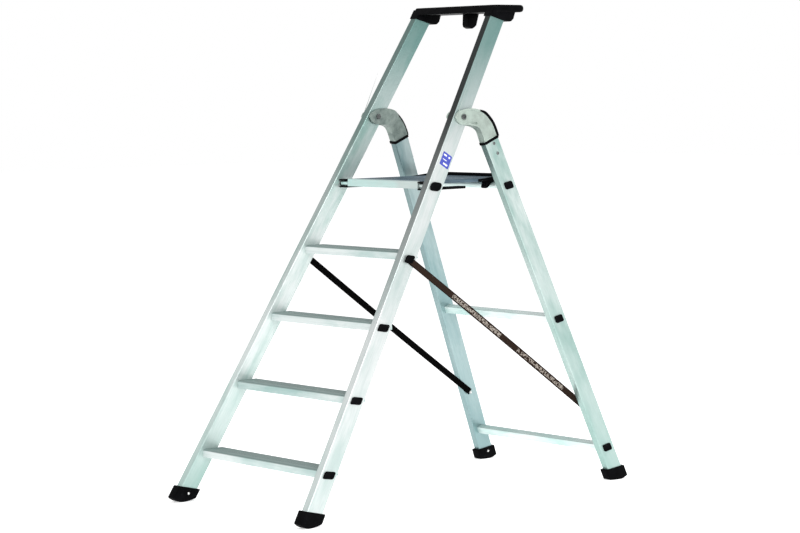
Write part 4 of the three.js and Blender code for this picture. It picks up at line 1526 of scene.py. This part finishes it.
@dataclass
class ToolTray:
    """Moulded tray over the stile tops, with two sleeves and a central lug below."""

    layout: Layout
    finishes: Finishes
    corner: float = 22 * MM
    floor_drop: float = 12 * MM
    rim: float = 8 * MM
    sleeve_from: float = 179 * MM
    sleeve_to: float = 220.5 * MM
    lower_front: float = 7 * MM
    well_front: float = 33 * MM

    def shell(self, low: Vector, high: Vector, underside: float) -> bmesh.types.BMesh:
        """The tray itself: a slanted front, a rounded back and a shallow well.

        Args:
            low: lower corner of the CAD tray's box.
            high: upper corner of that box.
            underside: height of the tray's flat underside.

        Returns:
            The tray without its sleeves.
        """
        nose = (high.z - underside) / 2

        def ring(z: float, inset: float) -> list[Vector]:
            """Outline of the tray's outside at a height.

            Args:
                z: height of the ring.
                inset: how far it is drawn in.

            Returns:
                The ring's points.
            """
            lift = z - underside
            front = low.y + self.lower_front + self.layout.front_pitch * lift + inset
            bulge = math.sqrt(max(nose * nose - (lift - nose) ** 2, 0.0))
            back = high.y - nose + bulge - inset * 0.2
            points = rounded(2 * (high.x - inset), back - front, self.corner, 8)
            return [Vector((u, (front + back) / 2 + v, z)) for u, v in points]

        def well_ring(z: float, inset: float) -> list[Vector]:
            """Outline of the tray's well at a height.

            Args:
                z: height of the ring.
                inset: how far it is drawn in.

            Returns:
                The ring's points.
            """
            front = low.y + self.well_front + inset
            back = high.y - nose - inset
            width = 2 * (high.x - self.rim - inset)
            points = rounded(width, back - front, self.corner - self.rim, 8)
            return [Vector((u, (front + back) / 2 + v, z)) for u, v in points]

        rings = [ring(underside, 9 * MM), ring(underside, 2.5 * MM)]
        rings.append(ring(underside + 0.12 * nose, 0.8 * MM))
        rings += [ring(underside + share * 2 * nose, 0.0) for share in (0.2, 0.4, 0.6, 0.8, 0.92)]
        rings += [ring(high.z - 0.6 * MM, 1.0 * MM), ring(high.z, 3.0 * MM)]
        rings.append(ring(high.z, self.rim - 1.5 * MM))
        floor = high.z - self.floor_drop
        rings += [well_ring(high.z - 1 * MM, 0.0), well_ring(floor + 3 * MM, 1.0 * MM)]
        rings.append(well_ring(floor, 4.0 * MM))
        return loft(rings)

    def sleeve(self, front: float, underside: float) -> bmesh.types.BMesh:
        """The right-hand sleeve that takes the top of a front stile.

        Args:
            front: where the front of the CAD tray's box is along Y.
            underside: height of the tray's underside.

        Returns:
            The right-hand shape, in place.
        """
        profile = [(20, 20), (0.5, -11.5), (3, -14), (70, -32), (92, -34), (101, -33), (112, -24)]
        profile.append((124, 8))
        outline = [(front + y * MM, underside + z * MM) for y, z in profile]
        sleeve = prism(outline, self.sleeve_from, self.sleeve_to, ACROSS)
        soften(sleeve, 3 * MM, 4, 30)
        return sleeve

    def lug(self) -> bmesh.types.BMesh:
        """The tapering lug under the tray, with its rounded foot.

        Returns:
            The lug, in place.
        """
        low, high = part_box("tray_lug")
        points = [(high.y, high.z), (low.y + 2 * MM, high.z), (low.y, low.z + 15 * MM)]
        foot = [(3, 6), (22, 0), (42, 12)]
        points += smooth_line([(low.y + y * MM, low.z + z * MM) for y, z in foot], 6)
        shape = prism(points, low.x, high.x, ACROSS)
        soften(shape, 3 * MM, 3, 30)
        return shape

    def build(self) -> None:
        """Makes the tray with both sleeves, and its lug."""
        low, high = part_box("tool_tray")
        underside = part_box("tray_lug")[1].z + GAP
        sleeve = self.sleeve(low.y, underside)
        tray = joined([self.shell(low, high, underside), mirror_copy(sleeve), sleeve])
        dress = Dress(self.finishes.plastic, Body.FRONT, "black_plastic", ("tool_tray",), crease=40)
        make_piece("tray", tray, dress)
        make_piece("tray_hanger", self.lug(), replace(dress, replaces=("tray_lug",), crease=32))


@dataclass
class Platform:
    """The standing deck: ribbed panel, side rails, and clips that hold it on the pivot pins."""

    layout: Layout
    finishes: Finishes
    rib_pitch: float = 10.4 * MM
    rib_depth: float = 1.4 * MM
    skin: float = 3 * MM
    webs: int = 7
    rail_top: float = 2 * MM
    rail_width: float = 4 * MM
    rail_front: float = 11 * MM
    clip_wall: float = 5.5 * MM
    clip_reach: float = 14.6 * MM
    clip_mouth: float = 4 * MM
    bar_height: float = 9 * MM

    def panel(self, low: Vector, high: Vector) -> bmesh.types.BMesh:
        """The deck panel: ribs on top and open webs below.

        Args:
            low: lower corner of the CAD deck's box.
            high: upper corner of that box.

        Returns:
            The panel.
        """
        points: Outline = [(low.y, low.z), (low.y, high.z)]
        groove = high.z - self.rib_depth
        count = int((high.y - low.y - 8 * MM) / self.rib_pitch)
        for i in range(count):
            y = low.y + 4 * MM + i * self.rib_pitch
            points += [(y + 0.8 * MM, high.z), (y + 2.2 * MM, groove)]
            points += [(y + 5.6 * MM, groove), (y + 7 * MM, high.z)]
        points += [(high.y, high.z), (high.y, low.z)]
        bay = (high.y - low.y - self.skin) / self.webs
        roof = groove - self.skin
        for i in range(self.webs, 0, -1):
            y = low.y + bay * i
            front = y - bay + self.skin
            points += [(y, low.z), (y, roof), (front, roof), (front, low.z)]
        return prism(points, low.x, high.x, ACROSS)

    def side_rail(self, low: Vector, high: Vector) -> bmesh.types.BMesh:
        """The flange along the right side of the deck, from the clip to the rear strip.

        Args:
            low: lower corner of the CAD deck's box.
            high: upper corner of that box.

        Returns:
            The right-hand shape, in place.
        """
        front = self.layout.joint("platform_tilt").y + self.rail_front
        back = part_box("platform_rear_strip")[0].y - 0.5 * MM
        top = high.z - self.rail_top
        outline = [(front, low.z), (back, low.z), (back, top), (front, top)]
        rail = prism(outline, high.x + GAP, high.x + self.rail_width, ACROSS)
        soften(rail, 1 * MM, 2, 50)
        return rail

    def clip(self, low: Vector, high: Vector) -> bmesh.types.BMesh:
        """The right-hand clip on its pivot pin, open to the front, with the bar behind it.

        Args:
            low: lower corner of the CAD bracket's box.
            high: upper corner of that box.

        Returns:
            The clip, its outer face clear of the stile when the platform is folded up.
        """
        pivot = self.layout.joint("platform_tilt")
        mouth = pivot.y - self.clip_reach
        inside = pivot.y + self.clip_mouth
        back = pivot.y + self.clip_reach
        upper = high.z - self.clip_wall
        lower = low.z + self.clip_wall
        bar = low.z + self.bar_height
        shell: Outline = [(mouth, high.z), (mouth, upper), (inside, upper), (inside, lower)]
        shell += [(mouth, lower), (mouth, low.z), (high.y, low.z), (high.y, bar), (back, bar)]
        shell.append((back, high.z))
        clip = prism(shell, low.x, high.x, ACROSS)
        side = Vector((high.x - 0.5 * MM, pivot.y, pivot.z))
        cut(clip, side, Vector((1, self.layout.splay, 0)))
        soften(clip, 1.6 * MM, 3, 40)
        return clip

    def insert(self, low: Vector, high: Vector) -> bmesh.types.BMesh:
        """The metal insert in the mouth of the right-hand clip.

        Args:
            low: lower corner of the CAD bracket's box.
            high: upper corner of that box.

        Returns:
            The right-hand shape, in place.
        """
        middle = (self.layout.joint("platform_tilt").y - 3 * MM, (low.z + high.z) / 2)
        core = arc(middle, (7 * MM, 8 * MM), 0, 345, 23)
        insert = prism(core, low.x + 4 * MM, high.x - 4 * MM, ACROSS)
        soften(insert, 1 * MM, 2, 50)
        return insert

    def build(self) -> None:
        """Makes the deck panel, its side rails, the clips and their inserts."""
        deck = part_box("platform_deck")
        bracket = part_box("platform_bracket_r")
        ribbed = Dress(self.finishes.deck, Body.PLATFORM, "deck_aluminium", ("platform_deck",), 25)
        make_piece("deck_panel", self.panel(*deck), ribbed)
        rail = Dress(self.finishes.deck, Body.PLATFORM, "aluminium")
        make_pair("deck_side_rail", self.side_rail(*deck), rail)
        black = Dress(self.finishes.plastic, Body.PLATFORM, "black_plastic")
        make_pair("platform_clip", self.clip(*bracket), black, "platform_bracket")
        pale = Dress(self.finishes.nosing, Body.PLATFORM, "aluminium")
        make_pair("clip_insert", self.insert(*bracket), pale)


@dataclass
class Rungs:
    """The two rear rungs: square tubes with a finely ribbed top."""

    layout: Layout
    finishes: Finishes
    side: float = 28 * MM

    def outline(self) -> Outline:
        """Section of a rung, with ribs on its upper side.

        Returns:
            The outline.
        """
        half = self.side / 2
        points = arc((-half + 4 * MM, -half + 4 * MM), (4 * MM, 4 * MM), 270, 180, 4)
        points += arc((-half + 3 * MM, half - 3 * MM), (3 * MM, 3 * MM), 180, 90, 3)
        for i in range(6):
            y = -half + 4 * MM + i * 3.4 * MM
            points += [(y, half), (y + 0.7 * MM, half - 0.9 * MM), (y + 1.9 * MM, half - 0.9 * MM)]
            points += [(y + 2.6 * MM, half)]
        points += arc((half - 3 * MM, half - 3 * MM), (3 * MM, 3 * MM), 90, 0, 3)
        points += arc((half - 4 * MM, -half + 4 * MM), (4 * MM, 4 * MM), 0, -90, 4)
        return points

    def build(self) -> None:
        """Makes both rungs."""
        layout = self.layout
        plane = layout.rear_plane
        for node in ("rear_rung_upper", "rear_rung_lower"):
            place = Matrix.Translation((0, 0, (plane.inverted() @ centre_of(node)).z))
            rung = crosspiece(self.outline(), layout, plane, layout.rear_width, place)
            dress = Dress(self.finishes.rung, Body.REAR, "aluminium", (node,), crease=30)
            make_piece(node.replace("rear_rung", "ribbed_rung"), rung, dress)


@dataclass
class CheckStraps:
    """Webbing straps that stop the frames spreading, stretched from front to rear stile."""

    finishes: Finishes
    width: float = 25 * MM
    thickness: float = 1.6 * MM
    crown: float = 0.35 * MM
    sag: float = 2.5 * MM
    end_reach: float = 30 * MM

    def build(self) -> None:
        """Makes both straps and declares their cut size."""
        for side in Side:
            self.strap(side)

    def strap(self, side: Side) -> None:
        """Makes one strap between the ends of its CAD band.

        Args:
            side: which side it is on.
        """
        node = "strap" + side.ending
        corners = [v.co.copy() for v in frame["nodes"][node].data.vertices]
        front = [c for c in corners if c.y < min(p.y for p in corners) + self.end_reach]
        rear = [c for c in corners if c.y > max(p.y for p in corners) - self.end_reach]
        start = sum(front, Vector()) / len(front)
        end = sum(rear, Vector()) / len(rear)
        run = (end - start).normalized()
        reach = [(c - start).dot(run) for c in corners]
        start = start + run * min(reach)
        length = max(reach) - min(reach)
        out = (Vector((side.value, 0, 0)) - run * run.x * side.value).normalized()
        across = out.cross(run)
        place = Matrix((run, across, out)).transposed().to_4x4()
        place.translation = start
        bm = bmesh.new()
        bmesh.ops.create_grid(bm, x_segments=90, y_segments=8, size=0.5)
        bmesh.ops.scale(bm, vec=(length, self.width, 1), verts=bm.verts)
        bmesh.ops.translate(bm, verts=bm.verts, vec=(length / 2, 0, 0))
        uv = bm.loops.layers.uv.new("strap")
        for face in bm.faces:
            for loop in face.loops:
                loop[uv].uv = (loop.vert.co.x, loop.vert.co.y)
        for vert in bm.verts:
            share = vert.co.x / length
            bulge = self.crown * math.cos(vert.co.y / self.width * math.pi)
            vert.co.z = bulge - self.thickness / 2
            vert.co.y += self.sag * math.sin(math.pi * share)
        bmesh.ops.solidify(bm, geom=bm.faces[:], thickness=-self.thickness * 0.8)
        bmesh.ops.transform(bm, matrix=place, verts=bm.verts)
        bmesh.ops.recalc_face_normals(bm, faces=bm.faces)
        finish = self.finishes.strap_printed if side is Side.RIGHT else self.finishes.strap_plain
        piece = shown("check_strap" + side.ending, bm, finish, 50)
        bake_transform(piece)
        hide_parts(node)
        log.info("%s: %.3f m of webbing", piece.name, length)


@dataclass
class Label:
    """Plain blue label with a few pale blocks on the right front stile."""

    layout: Layout
    finishes: Finishes
    plate: Point = (50 * MM, 44 * MM)
    film: float = 0.45 * MM
    print_top: float = 0.6 * MM

    def build(self) -> None:
        """Makes the label plate and its pale blocks."""
        stile = self.layout.front_stile
        middle = stile.inverted() @ centre_of("stile_label")
        base = Matrix.Translation((self.layout.front_width / 2 + GAP, middle.y, middle.z))
        place = stile @ base @ ON_SIDE
        plate = prism(rounded(*self.plate, 3 * MM), 0.0, self.film, place)
        dress = Dress(self.finishes.label_blue, Body.FRONT, "label", ("stile_label",))
        make_piece("label_plate", plate, dress)
        blocks = []
        for u, v, length, width in ((15, -10, 6, 14), (15, 11, 6, 8), (-1, -6, 3, 20), (-15, 3, 6, 22)):
            outline = [(u * MM + a, v * MM + b) for a, b in rounded(length * MM, width * MM, 1.4 * MM)]
            blocks.append(prism(outline, self.film, self.print_top, place))
        white = Dress(self.finishes.label_white, Body.FRONT, "label")
        make_piece("label_blocks", joined(blocks), white)


@dataclass
class CarriedNodes:
    """Finishes of the CAD nodes that show as they are."""

    finishes: Finishes

    def build(self) -> None:
        """Gives every shown CAD node its finish."""
        kinds = [
            # The left stiles take the darker copies of the stile finishes: painted shade.
            ("front_stile_l", self.finishes.front_stile_left),
            ("front_stile", self.finishes.front_stile),
            ("rear_stile_l", self.finishes.rear_stile_left),
            ("rear_stile", self.finishes.rear_stile),
            ("rest_bar", self.finishes.rung),
            ("platform_nosing", self.finishes.nosing),
            ("hinge_rivet", self.finishes.dark_steel),
            ("rivet", self.finishes.steel),
            ("strap_anchor_rear", self.finishes.steel),
            ("platform_", self.finishes.plastic),
        ]
        for name, node in frame["nodes"].items():
            if node.hide_render:
                continue
            finish = next(material for key, material in kinds if key in name)
            node.data.materials.clear()
            node.data.materials.append(finish)
            log.info("%s: finished as %s", name, finish.name)


# ---- Studio ------------------------------------------------------------------------------


@dataclass
class Studio:
    """White floor and backdrop, soft lights and the camera."""

    azimuth: float = 50.66
    elevation: float = 4.42
    roll: float = -0.73
    distance: float = 8.631
    focal: float = 110.5
    shift: Point = (0.0754, 0.0091)
    aim_height: float = 0.8
    aim_behind_stiles: float = 0.45
    surround: float = 0.62

    def build(self) -> None:
        """Makes everything around the ladder."""
        self.camera()
        self.floor()
        self.lights()

    def camera(self) -> None:
        """Places the camera on a circle round the ladder."""
        pivot = Layout.joint("platform_tilt")
        foot = pivot.y - Layout.front_pitch * pivot.z
        aim = Vector((0, foot + self.aim_behind_stiles, self.aim_height))
        turn = math.radians(self.azimuth)
        up = math.radians(self.elevation)
        back = Vector((math.sin(turn) * math.cos(up), -math.cos(turn) * math.cos(up), math.sin(up)))
        data = bpy.data.cameras.new("camera")
        data.sensor_width = 36.0
        data.lens = self.focal
        data.shift_x, data.shift_y = self.shift
        camera = bpy.data.objects.new("camera", data)
        bpy.context.scene.collection.objects.link(camera)
        level = (-back).to_track_quat("-Z", "Y").to_matrix().to_4x4()
        rolled = level @ Matrix.Rotation(math.radians(self.roll), 4, "Z")
        camera.matrix_world = Matrix.Translation(aim + back * self.distance) @ rolled
        bpy.context.scene.camera = camera

    def floor(self) -> None:
        """Plain pale floor."""
        bm = bmesh.new()
        bmesh.ops.create_grid(bm, x_segments=2, y_segments=2, size=30.0)
        graph = Graph("floor_paint")
        tone = graph.noise(graph.place((3, 3, 3)), 1.0)
        graph.paint(graph.ramp(tone, [(0.3, (0.93, 0.935, 0.935)), (0.7, (0.96, 0.96, 0.96))]))
        graph.set(roughness=0.9, emission_strength=0.5)
        graph.shader.inputs["Emission Color"].default_value = (1.0, 1.0, 1.0, 1.0)
        floor = shown("floor", bm, graph.material, 50)

    def lights(self) -> None:
        """Soft white surroundings and three large lamps."""
        world = bpy.data.worlds.new("studio")
        bpy.context.scene.world = world
        world.use_nodes = True
        tree = world.node_tree
        background = tree.nodes["Background"]
        background.inputs["Color"].default_value = (1.0, 1.0, 1.0, 1.0)
        backdrop = tree.nodes.new("ShaderNodeBackground")
        chosen = tree.nodes.new("ShaderNodeMixShader")
        seen = tree.nodes.new("ShaderNodeLightPath")
        tree.links.new(seen.outputs["Is Camera Ray"], chosen.inputs[0])
        tree.links.new(background.outputs[0], chosen.inputs[1])
        tree.links.new(backdrop.outputs[0], chosen.inputs[2])
        tree.links.new(chosen.outputs[0], tree.nodes["World Output"].inputs["Surface"])
        backdrop.inputs["Color"].default_value = (1.0, 1.0, 1.0, 1.0)
        background.inputs["Strength"].default_value = self.surround
        bpy.context.scene.view_settings.view_transform = "Standard"
        lamps = [
            ("key", (4.5, -1.5, 2.6), 2.4, 130),
            ("fill", (-3.5, -3.5, 3.0), 3.0, 30),
            ("top", (0.5, 1.5, 5.0), 3.5, 120),
        ]
        for name, position, size, power in lamps:
            data = bpy.data.lights.new(name, "AREA")
            data.shape = "DISK"
            data.size = size
            data.energy = power
            lamp = bpy.data.objects.new(name, data)
            bpy.context.scene.collection.objects.link(lamp)
            place = Vector(position)
            aim = (Vector((0, 0, 0.9)) - place).to_track_quat("-Z", "Y")
            lamp.matrix_world = Matrix.Translation(place) @ aim.to_matrix().to_4x4()


def main() -> None:
    """Builds the ladder around the frame, then the studio."""
    logging.basicConfig(level=logging.INFO, format="%(name)s: %(message)s")
    layout = Layout()
    finishes = Finishes()
    sections = [
        Steps(layout, finishes),
        Covers(layout, finishes),
        Feet(layout, finishes),
        GooseneckHinges(layout, finishes),
        ToolTray(layout, finishes),
        Platform(layout, finishes),
        Rungs(layout, finishes),
        CheckStraps(finishes),
        Label(layout, finishes),
        CarriedNodes(finishes),
        Studio(),
    ]
    for section in sections:
        section.build()


if __name__ == "__main__":
    main()
